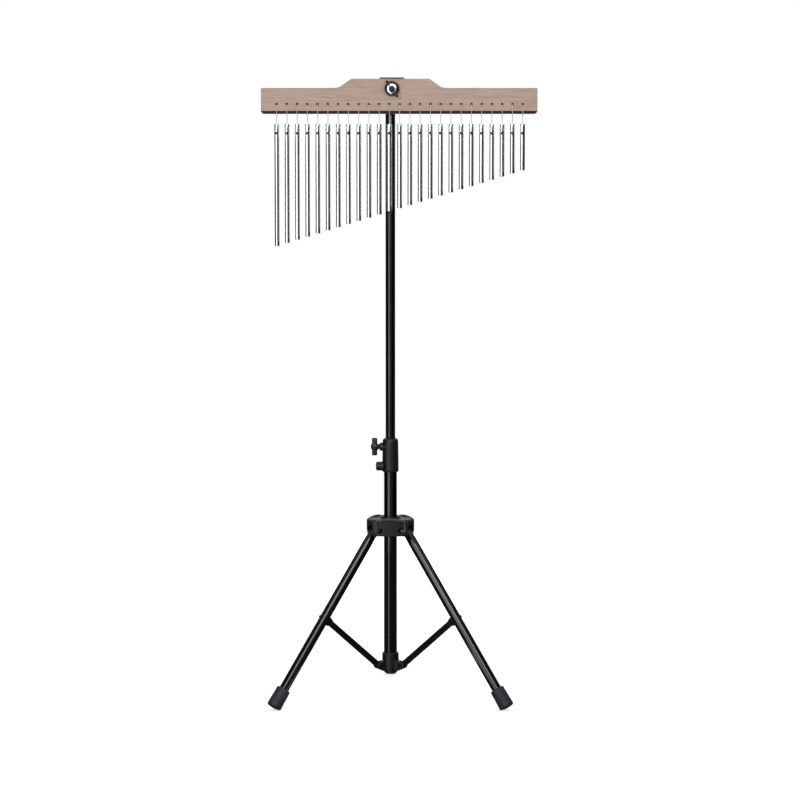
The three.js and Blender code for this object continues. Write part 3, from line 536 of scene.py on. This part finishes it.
def finish(name, colour, metallic=0.0, roughness=0.5, gloss=0.5):
    """A material with its Principled shader, ready for detail."""
    material = bpy.data.materials.new(name)
    material.use_nodes = True
    shader = material.node_tree.nodes["Principled BSDF"]
    put(shader, Base_Color=(*colour, 1.0), Metallic=metallic, Roughness=roughness)
    put(shader, Specular_IOR_Level=gloss)
    return material, material.node_tree, shader


def looked_at(tree):
    """One for the rays of the camera, of gloss and of glass."""
    ray = placed(tree, "LightPath")
    seen = maths(tree, "MAXIMUM", ray.outputs["Is Camera Ray"], ray.outputs["Is Glossy Ray"])
    return maths(tree, "MAXIMUM", seen, ray.outputs["Is Transmission Ray"])


def blend_colours(tree, mask, first, second):
    """A Mix node between two colours."""
    mix = placed(tree, "Mix")
    mix.data_type = "RGBA"
    tree.links.new(mask, mix.inputs["Factor"])
    for index, value in ((6, first), (7, second)):
        if isinstance(value, bpy.types.NodeSocket):
            tree.links.new(value, mix.inputs[index])
        else:
            mix.inputs[index].default_value = (*value, 1.0)
    return mix.outputs[2]


def paint(tree, shader, mask, first, second):
    """Colours a surface with two colours by a mask."""
    tree.links.new(blend_colours(tree, mask, first, second), shader.inputs["Base Color"])


def spread_out(tree, value, low, high, top=1.0):
    """A value stretched from between low and high to between nought and top."""
    node = placed(tree, "MapRange", From_Min=low, From_Max=high, To_Max=top)
    tree.links.new(value, node.inputs["Value"])
    return node.outputs["Result"]


def bump(tree, shader, height, strength, distance):
    """Bumps a shader's surface by a height value."""
    node = placed(tree, "Bump", Strength=strength, Distance=distance)
    tree.links.new(height, node.inputs["Height"])
    tree.links.new(node.outputs["Normal"], shader.inputs["Normal"])


def metal_finish(name, colour, stretch, roughness, spread=0.06):
    """Drawn or turned metal: streaked roughness and slight blotches."""
    if name in bpy.data.materials:
        return bpy.data.materials[name]
    material, tree, shader = finish(name, colour, metallic=1.0, roughness=roughness)
    streaks = use(tree, "DrawnStreaks", streak_group, Stretch=stretch, Scale=300.0)
    blotch = use(tree, "SurfaceMottle", mottle_group, Scale=45.0, Low=-0.02, High=0.02)
    rough = maths(tree, "MULTIPLY_ADD", streaks, 2 * spread, roughness - spread)
    tree.links.new(maths(tree, "ADD", rough, blotch), shader.inputs["Roughness"])
    paint(tree, shader, streaks, tuple(0.9 * part for part in colour), colour)
    bump(tree, shader, streaks, 0.08, 0.05 * MM)
    return material


def enamel_finish(name, colour, roughness=0.17):
    """Stoved gloss enamel over tube: faint orange peel and edges worn a little paler."""
    if name in bpy.data.materials:
        return bpy.data.materials[name]
    material, tree, shader = finish(name, colour, roughness=roughness, gloss=0.38)
    peel = use(tree, "SurfaceMottle", mottle_group, Scale=900.0, Low=0.0, High=1.0)
    low, high = roughness - 0.05, roughness + 0.06
    blotch = use(tree, "SurfaceMottle", mottle_group, Scale=30.0, Low=low, High=high)
    tree.links.new(blotch, shader.inputs["Roughness"])
    wear = use(tree, "EdgeWear", wear_group, From=0.6, To=0.75)
    paint(tree, shader, wear, colour, tuple(part + 0.012 for part in colour))
    bump(tree, shader, peel, 0.05, 0.1 * MM)
    return material


def plastic_finish(name, colour, roughness=0.42, grain=1400.0, depth=0.12 * MM):
    """Moulded plastic or rubber: a fine pebbled skin with paler, worn edges."""
    if name in bpy.data.materials:
        return bpy.data.materials[name]
    material, tree, shader = finish(name, colour, roughness=roughness, gloss=0.28)
    pebble = use(tree, "SurfaceMottle", mottle_group, Scale=grain, Low=0.0, High=1.0)
    low, high = roughness - 0.07, roughness + 0.07
    blotch = use(tree, "SurfaceMottle", mottle_group, Scale=55.0, Low=low, High=high)
    tree.links.new(blotch, shader.inputs["Roughness"])
    wear = use(tree, "EdgeWear", wear_group, From=0.51, To=0.6)
    paint(tree, shader, wear, colour, tuple(2.0 * part + 0.008 for part in colour))
    bump(tree, shader, pebble, 0.25, depth)
    return material


def wood_finish(settings):
    """Lacquered pale hardwood: long fine grain along the beam, with darker flecks and pores."""
    material, tree, shader = finish("BeamWood", settings.light_wood, roughness=0.5, gloss=0.12)
    grain = use(tree, "DrawnStreaks", streak_group, Stretch=(1.0, 14.0, 14.0), Scale=22.0)
    fleck = use(tree, "DrawnStreaks", streak_group, Stretch=(1.0, 7.0, 7.0), Scale=120.0)
    blotch = use(tree, "SurfaceMottle", mottle_group, Scale=16.0, Low=0.0, High=1.0)
    lines = spread_out(tree, grain, 0.38, 0.66)
    base = blend_colours(tree, lines, settings.light_wood, settings.dark_wood)
    flecked = blend_colours(tree, spread_out(tree, fleck, 0.6, 0.72, 0.45), base, settings.pores)
    pale = tuple(min(1.0, 1.12 * part) for part in settings.light_wood)
    paint(tree, shader, maths(tree, "MULTIPLY", blotch, 0.3), flecked, pale)
    rough = maths(tree, "MULTIPLY_ADD", fleck, 0.2, 0.34)
    tree.links.new(rough, shader.inputs["Roughness"])
    bump(tree, shader, fleck, 0.15, 0.1 * MM)
    return material


def painted_shade_finish(settings):
    """Painted shade: dark brown for the lower chamfers and the cord holes, where shade falls, uneven
    along the grain.
    """
    material, tree, shader = finish("BeamStain", settings.painted_shade, roughness=0.6, gloss=0.12)
    grain = use(tree, "DrawnStreaks", streak_group, Stretch=(1.0, 10.0, 10.0), Scale=40.0)
    paint(tree, shader, grain, settings.painted_shade, tuple(2.0 * part for part in settings.painted_shade))
    bump(tree, shader, grain, 0.1, 0.1 * MM)
    return material


def cord_finish(colour):
    """Braided nylon: fine diagonal bumps and a soft sheen."""
    material, tree, shader = finish("NylonCord", colour, roughness=0.5)
    put(shader, Sheen_Weight=0.2)
    where = placed(tree, "TexCoord")
    weave = placed(tree, "TexWave", Scale=900.0)
    weave.bands_direction = "DIAGONAL"
    tree.links.new(where.outputs["Object"], weave.inputs["Vector"])
    paint(tree, shader, weave.outputs["Fac"], tuple(0.8 * part for part in colour), colour)
    bump(tree, shader, weave.outputs["Fac"], 0.4, 0.1 * MM)
    return material


def stand_enamel():
    return enamel_finish("StandEnamel", bpy.context.scene.chime_stand.enamel)


def stand_plastic():
    return plastic_finish("StandPlastic", bpy.context.scene.chime_stand.plastic)


def stand_steel():
    return metal_finish("PlatedSteel", bpy.context.scene.chime_stand.steel, (1.0, 1.0, 0.2), 0.34)


# Stage


class CHIME_OT_stage(bpy.types.Operator):
    """Places the camera, the pale floor and the soft lamps"""

    bl_idname = "chime.make_stage"
    bl_label = "Stage"

    def execute(self, context):
        settings = context.scene.chime_stage
        self.make_camera(context, settings)
        self.make_floor(context, settings)
        self.make_sky(context, settings)
        self.make_lamps(context, settings)
        self.make_gloss_panels(context)
        context.scene.view_settings.view_transform = "Standard"
        return {"FINISHED"}

    def make_camera(self, context, settings):
        target = Vector((POST_AXIS.x + settings.view_shift, POST_AXIS.y, settings.view_height))
        place = Vector((target.x, POST_AXIS.y - settings.camera_distance, settings.camera_height))
        data = bpy.data.cameras.new("Camera")
        data.sensor_width = SENSOR
        data.lens = SENSOR * (target - place).length / settings.frame_width
        data.clip_end = 60.0
        camera = bpy.data.objects.new("Camera", data)
        camera.location = place
        camera.rotation_euler = (target - place).to_track_quat("-Z", "Y").to_euler()
        context.scene.collection.objects.link(camera)
        context.scene.camera = camera

    def make_floor(self, context, settings):
        """A pale disc that takes the shadow and glows where it is looked at, white towards its edge."""
        builder = bmesh.new()
        bmesh.ops.create_circle(builder, cap_ends=True, segments=96, radius=settings.floor_reach)
        floor = bpy.data.objects.new("Floor", mesh_of(builder, "Floor"))
        floor.location = POST_AXIS
        context.scene.collection.objects.link(floor)
        material, tree, shader = finish("FloorPaper", settings.floor_colour, roughness=0.9, gloss=0.0)
        put(shader, Emission_Color=WHITE)
        where = placed(tree, "TexCoord")
        far = placed(tree, "VectorMath")
        far.operation = "LENGTH"
        inner, outer = 0.25 * settings.floor_reach, 0.75 * settings.floor_reach
        glow = placed(tree, "MapRange", From_Min=inner, From_Max=outer, To_Min=settings.floor_glow)
        glow.interpolation_type = "SMOOTHSTEP"
        tree.links.new(where.outputs["Object"], far.inputs[0])
        tree.links.new(far.outputs["Value"], glow.inputs["Value"])
        strength = maths(tree, "MULTIPLY", looked_at(tree), glow.outputs["Result"])
        tree.links.new(strength, shader.inputs["Emission Strength"])
        floor.data.materials.append(material)

    def make_sky(self, context, settings):
        """Soft light from all round, and white where it is looked at."""
        world = bpy.data.worlds.new("Studio")
        world.use_nodes = True
        tree = world.node_tree
        tree.nodes.clear()
        out = placed(tree, "OutputWorld")
        light = placed(tree, "Background", Color=WHITE, Strength=settings.sky_strength)
        white = placed(tree, "Background", Color=WHITE)
        either = placed(tree, "MixShader")
        tree.links.new(looked_at(tree), either.inputs["Fac"])
        tree.links.new(light.outputs["Background"], either.inputs[1])
        tree.links.new(white.outputs["Background"], either.inputs[2])
        tree.links.new(either.outputs["Shader"], out.inputs["Surface"])
        context.scene.world = world

    def make_lamps(self, context, settings):
        """Soft lamps that light the colours. What gloss shows comes from the gloss panels."""
        centre = Vector((POST_AXIS.x, POST_AXIS.y, LAMP_CENTRE))
        for name, offset, side, power in LAMPS:
            data = bpy.data.lights.new(name, "AREA")
            data.shape = "SQUARE"
            data.size = side
            data.energy = settings.lamp_power * power
            lamp = bpy.data.objects.new(name, data)
            lamp.location = centre + Vector(offset)
            lamp.rotation_euler = (-Vector(offset)).to_track_quat("-Z", "Y").to_euler()
            lamp.visible_camera = False
            lamp.visible_glossy = False
            context.scene.collection.objects.link(lamp)

    def make_gloss_panels(self, context):
        """Bright and dark panels that only gloss sees: they draw the chime's light and dark lines."""
        for name, start, end, low, high, value in GLOSS_WALLS:
            rims = ((WALL_RADIUS, low), (WALL_RADIUS, high))
            self.gloss_panel(context, name, self.band(name, start, end, rims, WALL_STEPS), value)
        for name, start, end, value in GLOSS_FLOORS:
            rims = [(radius, FLOOR_LIFT) for radius in FLOOR_RADII]
            self.gloss_panel(context, name, self.band(name, start, end, rims, FLOOR_STEPS), value)

    def band(self, name, start, end, rims, steps):
        """A band round the post between two rims, each a radius and a height."""
        builder = bmesh.new()
        rows = []
        for radius, height in rims:
            row = []
            for step in range(steps + 1):
                turn = math.radians(start + (end - start) * step / steps)
                offset = Vector((radius * math.sin(turn), -radius * math.cos(turn), height))
                row.append(builder.verts.new(POST_AXIS + offset))
            rows.append(row)
        for step in range(steps):
            builder.faces.new((rows[0][step], rows[0][step + 1], rows[1][step + 1], rows[1][step]))
        return mesh_of(builder, name)

    def gloss_panel(self, context, name, mesh, value):
        panel = bpy.data.objects.new(name, mesh)
        material, tree, shader = finish(name, (0.0, 0.0, 0.0), roughness=1.0, gloss=0.0)
        put(shader, Emission_Color=WHITE, Emission_Strength=value)
        panel.data.materials.append(material)
        panel.visible_camera = False
        panel.visible_diffuse = False
        panel.visible_transmission = False
        panel.visible_shadow = False
        context.scene.collection.objects.link(panel)


# Pieces


class CHIME_OT_cords(bpy.types.Operator):
    """Threads a nylon cord through the beam for each bar"""

    bl_idname = "chime.make_cords"
    bl_label = "Cords"

    def execute(self, context):
        settings = context.scene.chime_bars
        material = cord_finish(settings.cord)
        for node, hole in HOLES.items():
            path = self.route(settings, context.scene.chime_beam, hole)
            mesh = mesh_of(sweep(path, settings.cord_diameter / 2), node + "_cord")
            new_piece(node.replace("bar", "cord"), mesh, material, node, "bar_aluminium")
        return {"FINISHED"}

    def route(self, settings, beam, hole):
        """The cord's loop: round the bar's pin, up both faces of the beam and into its hole."""
        clear = SEAT + settings.cord_diameter / 2
        edge = (BEAM_HIGH.y - BEAM_LOW.y) / 2
        floor = -beam.mouth_diameter / 2
        corner = beam.chamfer_height - beam.hole_height
        strand = settings.pin_diameter / 2 + settings.cord_diameter / 2
        low = -settings.bar_drop - settings.pin_drop
        half = [
            (0.0, low - strand),
            (0.6 * strand, low - 0.8 * strand),
            (strand, low),
            (0.9 * strand, -settings.bar_drop - 4 * MM),
            (1.1 * strand, -settings.bar_drop + 0.5 * MM),
            (edge + clear, corner - 0.4 * MM),
            (edge + clear, floor),
            (edge + 0.72 * clear, floor + 0.72 * clear),
            (edge, floor + clear),
            (edge - 0.8 * beam.mouth_depth, floor + clear),
            (edge - 1.5 * beam.mouth_depth, 0.0),
        ]
        across = [(-y, z) for y, z in half] + [(y, z) for y, z in reversed(half[1:])]
        return [hole + Vector((0.0, y, z)) for y, z in fillet(across, 2.0 * MM, 3)]


class CHIME_OT_bars(bpy.types.Operator):
    """Makes the aluminium bars with their bores and cross pins"""

    bl_idname = "chime.make_bars"
    bl_label = "Bars"

    def execute(self, context):
        settings = context.scene.chime_bars
        metal = metal_finish("PolishedAluminium", settings.metal, (1.0, 1.0, 0.06), 0.12, 0.02)
        # Painted shade: the cross pins are near-black so that the cross holes read as dark, shaded holes
        pin_painted_shade = enamel_finish("DarkPin", (0.006, 0.006, 0.007), 0.5)
        pattern = self.bored_bar(settings)
        half = 0.44 * settings.bar_diameter
        radius = settings.pin_diameter / 2
        pin_profile = fillet([(0.0, -half), (radius, -half), (radius, half), (0.0, half)], 0.2 * MM)
        for node, hole in HOLES.items():
            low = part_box(node)[0]
            top = hole.z - settings.bar_drop
            mesh = pattern.copy()
            for vertex in mesh.vertices:
                if vertex.co.z < -PATTERN_LENGTH / 2:
                    vertex.co.z += PATTERN_LENGTH - (top - low.z)
            mesh.transform(Matrix.Translation((hole.x, hole.y, top)))
            new_piece(node.replace("bar", "rod"), mesh, metal, node, "bar_aluminium", node)
            place = at(hole - Vector((0, 0, settings.bar_drop + settings.pin_drop)), "Y")
            pin = turned(pin_profile, node + "_pin", place, 24)
            new_piece(node.replace("bar", "cross_pin"), pin, pin_painted_shade, node, "bar_aluminium")
        return {"FINISHED"}

    def bored_bar(self, settings):
        """A short bar that hangs from its top at the origin, bored and cross-drilled."""
        radius = settings.bar_diameter / 2
        bore = settings.bore_diameter / 2
        profile = [
            (0.0, -PATTERN_LENGTH),
            (radius, -PATTERN_LENGTH),
            (radius, 0.0),
            (bore, 0.0),
            (bore, -settings.bore_depth),
            (0.0, -settings.bore_depth),
        ]
        drilled = settings.pin_diameter / 2 + 0.1 * MM
        flare = drilled + 0.7 * MM
        end = [
            (drilled, radius - 1.2 * MM),
            (flare, radius - 0.3 * MM),
            (flare, 2 * radius),
            (0.0, 2 * radius),
        ]
        rod = turned(fillet(profile, 0.7 * MM, 4), "bar_pattern", Matrix.Identity(4), 48)
        place = at(Vector((0, 0, -settings.pin_drop)), "Y")
        mesh = cut(rod, turned(both_ways(end), "drill", place, 24))
        mesh.shade_smooth()
        mesh.set_sharp_from_angle(angle=math.radians(35))
        return mesh


class CHIME_OT_beam(bpy.types.Operator):
    """Makes the humped wooden beam with its cord holes"""

    bl_idname = "chime.make_beam"
    bl_label = "Beam"

    def execute(self, context):
        settings = context.scene.chime_beam
        thickness = BEAM_HIGH.y - BEAM_LOW.y
        curve = bpy.data.curves.new("beam_outline", "CURVE")
        curve.dimensions = "2D"
        curve.fill_mode = "BOTH"
        curve.extrude = thickness / 2
        self.add_loop(curve, self.outline(settings))
        bolt = middle("clamp_cup_washer")
        self.add_loop(curve, self.ring(bolt.x, bolt.z, settings.bolt_diameter / 2, 32))
        flat = bpy.data.objects.new("beam_flat", curve)
        context.scene.collection.objects.link(flat)
        mesh = evaluated(flat)
        bpy.data.objects.remove(flat)
        builder = bmesh.new()
        builder.from_mesh(mesh)
        upright = Matrix.Rotation(math.radians(90), 4, "X")
        place = Matrix.Translation((0, BEAM_MIDDLE, 0)) @ upright
        bmesh.ops.transform(builder, matrix=place, verts=builder.verts)
        bmesh.ops.remove_doubles(builder, verts=builder.verts, dist=1e-6)
        for side, face in ((-1, BEAM_LOW.y), (1, BEAM_HIGH.y)):
            point = Vector((0, face, BEAM_LOW.z + settings.chamfer_height))
            normal = Vector((0, side * settings.chamfer_height, -settings.chamfer_depth))
            every = builder.verts[:] + builder.edges[:] + builder.faces[:]
            sliced = bmesh.ops.bisect_plane(
                builder, geom=every, plane_co=point, plane_no=normal, clear_outer=True
            )
            edges = [item for item in sliced["geom_cut"] if isinstance(item, bmesh.types.BMEdge)]
            bmesh.ops.holes_fill(builder, edges=edges, sides=0)
        bmesh.ops.dissolve_limit(builder, angle_limit=FLAT, verts=builder.verts, edges=builder.edges)
        plain = mesh_of(builder, "beam_plain")
        piece = bpy.data.objects.new("beam_plain", plain)
        context.scene.collection.objects.link(piece)
        bevel = piece.modifiers.new("bevel", "BEVEL")
        bevel.width = settings.edge
        bevel.segments = 3
        bevel.limit_method = "ANGLE"
        bevel.angle_limit = math.radians(28)
        rounded = cut(evaluated(piece), self.drills(settings))
        bpy.data.objects.remove(piece)
        rounded = crisp(rounded, math.radians(50))
        beam = new_piece("wooden_beam", rounded, wood_finish(settings), "mast", "wood", "beam")
        # A second material of painted shade, for the lower chamfers and the holes
        beam.data.materials.append(painted_shade_finish(settings))
        self.painted_shade(beam.data, settings)
        return {"FINISHED"}

    def drills(self, settings):
        """One mesh of the shapes that the cord holes cut: wide at both faces, narrow within."""
        half = (BEAM_HIGH.y - BEAM_LOW.y) / 2
        mouth = settings.mouth_diameter / 2
        deep = half - settings.mouth_depth
        flare = mouth + settings.edge
        end = [
            (settings.neck_diameter / 2, deep - 2 * MM),
            (mouth, deep),
            (mouth, half - settings.edge),
            (flare, half),
            (flare, half + 1 * MM),
            (0.0, half + 1 * MM),
        ]
        profile = both_ways(end)
        joined = bmesh.new()
        for node, hole in HOLES.items():
            place = at(Vector((hole.x, BEAM_MIDDLE, hole.z)), "Y")
            drill = turned(profile, node + "_drill", place, 20)
            joined.from_mesh(drill)
            bpy.data.meshes.remove(drill)
        return mesh_of(joined, "drills")

    def painted_shade(self, mesh, settings):
        """Puts painted shade on the lower chamfers, which face down, and in the holes."""
        reach = settings.mouth_diameter / 2 + 1.05 * settings.edge
        rise = settings.chamfer_depth / math.hypot(settings.chamfer_height, settings.chamfer_depth)
        for face in mesh.polygons:
            spot = face.center
            hole = min(HOLES.values(), key=lambda place: abs(place.x - spot.x))
            corners = [mesh.vertices[index].co for index in face.vertices]
            near = all(math.hypot(corner.x - hole.x, corner.z - hole.z) < reach for corner in corners)
            low = spot.z < BEAM_LOW.z + settings.chamfer_height
            if near or (low and abs(face.normal.z + rise) < 0.12):
                face.material_index = 1

    def add_loop(self, curve, points):
        """Adds a closed outline to a flat curve."""
        loop = curve.splines.new("POLY")
        loop.points.add(len(points) - 1)
        for point, (x, z) in zip(loop.points, points):
            point.co = (x, z, 0.0, 1.0)
        loop.use_cyclic_u = True

    def ring(self, x, z, radius, sides):
        """The outline of a round hole."""
        angles = [2 * math.pi * side / sides for side in range(sides)]
        return [(x + radius * math.cos(angle), z + radius * math.sin(angle)) for angle in angles]

    def outline(self, settings):
        """The beam seen from the front: its hump, hollow shoulders and rounded corners."""
        left, right, low, top = BEAM_LOW.x, BEAM_HIGH.x, BEAM_LOW.z, BEAM_HIGH.z
        edge = low + settings.end_height
        flat = settings.hump_flat / 2
        foot = flat + settings.shoulder_run
        bend = foot - settings.shoulder_curve
        pull = bend + 0.3 * settings.shoulder_curve
        half = [(flat, top), (bend, edge + settings.shoulder_step)]
        for step in range(1, 9):
            t = step / 8
            reach = (1 - t) ** 2 * bend + 2 * t * (1 - t) * pull + t**2 * foot
            rise = (1 - t) ** 2 * settings.shoulder_step
            half.append((reach, edge + rise))
        points = []
        middle_x = POST_AXIS.x
        for reach, height in reversed(half):
            points.append((middle_x - reach, height))
        for reach, height in half:
            points.append((middle_x + reach, height))
        upper = 2 * MM
        for centre_x, centre_z, radius, start in (
            (right - upper, edge - upper, upper, 90),
            (right - settings.corner, low + settings.corner, settings.corner, 0),
            (left + settings.corner, low + settings.corner, settings.corner, -90),
            (left + upper, edge - upper, upper, -180),
        ):
            for step in range(9):
                angle = math.radians(start - 90 * step / 8)
                points.append((centre_x + radius * math.cos(angle), centre_z + radius * math.sin(angle)))
        return points


class CHIME_OT_clamp(bpy.types.Operator):
    """Makes the clamp's washers, screw and sliding handle, and the bracket behind the beam"""

    bl_idname = "chime.make_clamp"
    bl_label = "Clamp and bracket"

    def execute(self, context):
        stand = context.scene.chime_stand
        axis = middle("clamp_cup_washer")
        front = at(Vector((axis.x, BEAM_LOW.y - SEAT, axis.z)), "-Y")
        black = stand_enamel()
        chrome = metal_finish("ClampChrome", (0.86, 0.86, 0.85), (1.0, 1.0, 1.0), 0.26, 0.03)
        cup = self.washer("cup_washer", CUP_WASHER, front)
        new_piece("cup_washer", cup, black, "mast", "black_enamel", "clamp_cup_washer")
        dome = self.washer("dome_washer", DOME_WASHER, front)
        new_piece("dome_washer", dome, chrome, "mast", "chrome", "clamp_dome_washer")
        dressed("screw_head", "clamp_screw", black, "clamp_screw", "black_enamel", width=0.4 * MM)
        new_piece("tommy_bar", self.handle(), black, "clamp_handle", "black_enamel", "clamp_handle")
        plate = metal_finish("BracketZinc", stand.bracket, (0.2, 1.0, 1.0), 0.36, 0.08)
        dressed("beam_bracket_dressed", "beam_bracket", plate, "mast", "steel", width=0.4 * MM)
        return {"FINISHED"}

    def washer(self, name, profile, place):
        """A washer turned from a closed profile in millimetres."""
        points = [(radius * MM, height * MM) for radius, height in profile]
        return turned(closed_fillet(points, 0.5 * MM), name, place)

    def handle(self):
        """A rod with a ball at each end, along the line that it slides on."""
        lean = Vector(JOINTS["handle_slide"]["axis"])
        first = math.asin(HANDLE_ROD / HANDLE_BALL)
        arc = []
        for step in range(13):
            angle = first + (math.pi - first) * step / 12
            radius = HANDLE_BALL * math.sin(angle) if step < 12 else 0.0
            arc.append((radius, HANDLE_HALF - HANDLE_BALL * math.cos(angle)))
        turn = lean.to_track_quat("Z", "Y").to_matrix().to_4x4()
        place = Matrix.Translation(middle("clamp_handle")) @ turn
        return turned(both_ways(arc), "tommy_bar", place, 40)


class CHIME_OT_posts(bpy.types.Operator):
    """Makes the two telescoping posts"""

    bl_idname = "chime.make_posts"
    bl_label = "Posts"

    def execute(self, context):
        wall = context.scene.chime_stand.tube_wall
        for name, node, body in (
            ("upper_post", "inner_post", "mast"),
            ("lower_post", "outer_post", "stand"),
        ):
            low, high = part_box(node)
            radius = (high.x - low.x) / 2
            bore = radius - wall
            profile = [(bore, low.z), (radius, low.z), (radius, high.z), (bore, high.z)]
            mesh = turned(closed_fillet(profile, 0.4 * MM, 3), name, at(POST_AXIS))
            new_piece(name, mesh, stand_enamel(), body, "black_enamel", node)
        return {"FINISHED"}


class CHIME_OT_mouldings(bpy.types.Operator):
    """Makes the clutch, its knob, the crown and the hub as smooth mouldings"""

    bl_idname = "chime.make_mouldings"
    bl_label = "Mouldings"

    def execute(self, context):
        settings = context.scene.chime_stand
        plastic = stand_plastic()
        voxel = 0.6 * MM
        for name, node, body, passes in (
            ("post_clutch", "clutch_collar", "stand", 12),
            ("leg_crown", "crown", "crown", 4),
            ("brace_hub", "hub", "stand", 4),
        ):
            dressed(name, node, plastic, body, "black_plastic", voxel=voxel, smooth=passes)
        # The beads get a paler colour as a painted highlight for the light on their rims
        lip_highlight = plastic_finish("RubbedPlastic", settings.lip_highlight)
        for side, turn in SIDES.items():
            bead = self.lip(settings, turn + 60)
            new_piece("crown_lip_" + side, bead, lip_highlight, "crown", "black_plastic")
        knob = {"voxel": 0.5 * MM, "smooth": 40}
        dressed("wing_knob", "clutch_knob", plastic, "clutch_knob", "black_plastic", **knob)
        dressed("post_bush", "inner_post_bush", plastic, "mast", "black_plastic")
        return {"FINISHED"}

    def lip(self, settings, degrees):
        """A bead along the sides and the arched top of one of the crown's panels."""
        low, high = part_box("crown")
        turn = Matrix.Rotation(math.radians(degrees), 3, "Z")
        outward, along = turn @ Vector((1, 0, 0)), turn @ Vector((0, 1, 0))
        reach = POST_AXIS.y - low.y - 0.55 * settings.bead
        half = settings.panel_width / 2 - settings.bead
        top, shoulder = high.z - settings.bead, high.z - settings.panel_arch
        path = [(half, low.z + settings.panel_corner)]
        for step in range(17):
            t = step / 16
            path.append((half * (1 - 2 * t), shoulder + 4 * t * (1 - t) * (top - shoulder)))
        path.append((-half, low.z + settings.panel_corner))
        face = POST_AXIS + outward * reach
        points = [face + along * u + Vector((0, 0, z)) for u, z in fillet(path, 1.5 * MM, 3)]
        return mesh_of(sweep(points, settings.bead, 16, outward), "crown_lip")


class CHIME_OT_legs(bpy.types.Operator):
    """Makes the legs, feet, braces, clips and pins"""

    bl_idname = "chime.make_legs"
    bl_label = "Legs"

    def execute(self, context):
        settings = context.scene.chime_stand
        rubber = plastic_finish("FootRubber", settings.rubber, 0.6, 900.0, 0.3 * MM)
        enamel, steel = stand_enamel(), stand_steel()
        for side in SIDES:
            leg, brace, foot = "leg_" + side, "brace_" + side, "foot_" + side
            dressed("leg_tube_" + side, leg, enamel, leg, "black_enamel")
            dressed("brace_channel_" + side, brace, enamel, brace, "black_enamel")
            dressed("brace_clip_" + side, "leg_clip_" + side, enamel, leg, "black_enamel")
            dressed("rubber_foot_" + side, foot, rubber, leg, "rubber", voxel=0.7 * MM, smooth=3)
            dressed("rivet_crown_pin_" + side, "crown_pin_" + side, steel, "crown", "steel")
            dressed("rivet_hub_pin_" + side, "hub_pin_" + side, enamel, "stand", "black_enamel")
            dressed("rivet_clip_pin_" + side, "clip_pin_" + side, enamel, leg, "black_enamel")
        dressed("clutch_screw", "clutch_bolt", steel, "stand", "steel")
        return {"FINISHED"}


class CHIME_PT_panel(bpy.types.Panel):
    """Lists the chime's pieces and their sizes"""

    bl_idname = "CHIME_PT_panel"
    bl_label = "Bar chime"
    bl_space_type = "VIEW_3D"
    bl_region_type = "UI"
    bl_category = "Chime"

    def draw(self, context):
        for operator in OPERATORS:
            self.layout.operator(operator.bl_idname)
        for name in SETTINGS:
            box = self.layout.box()
            for label in getattr(context.scene, name).__annotations__:
                box.prop(getattr(context.scene, name), label)


OPERATORS = (
    CHIME_OT_stage,
    CHIME_OT_cords,
    CHIME_OT_bars,
    CHIME_OT_beam,
    CHIME_OT_clamp,
    CHIME_OT_posts,
    CHIME_OT_mouldings,
    CHIME_OT_legs,
)
SETTINGS = {
    "chime_stage": ChimeStageSettings,
    "chime_bars": ChimeBarSettings,
    "chime_beam": ChimeBeamSettings,
    "chime_stand": ChimeStandSettings,
}


def register():
    for kind in (*SETTINGS.values(), *OPERATORS, CHIME_PT_panel):
        bpy.utils.register_class(kind)
    for name, kind in SETTINGS.items():
        setattr(bpy.types.Scene, name, bpy.props.PointerProperty(type=kind))


def unregister():
    for name in SETTINGS:
        delattr(bpy.types.Scene, name)
    for kind in reversed((*SETTINGS.values(), *OPERATORS, CHIME_PT_panel)):
        bpy.utils.unregister_class(kind)


def main():
    register()
    for operator in OPERATORS:
        group, name = operator.bl_idname.split(".")
        getattr(getattr(bpy.ops, group), name)()


if __name__ == "__main__":
    main()
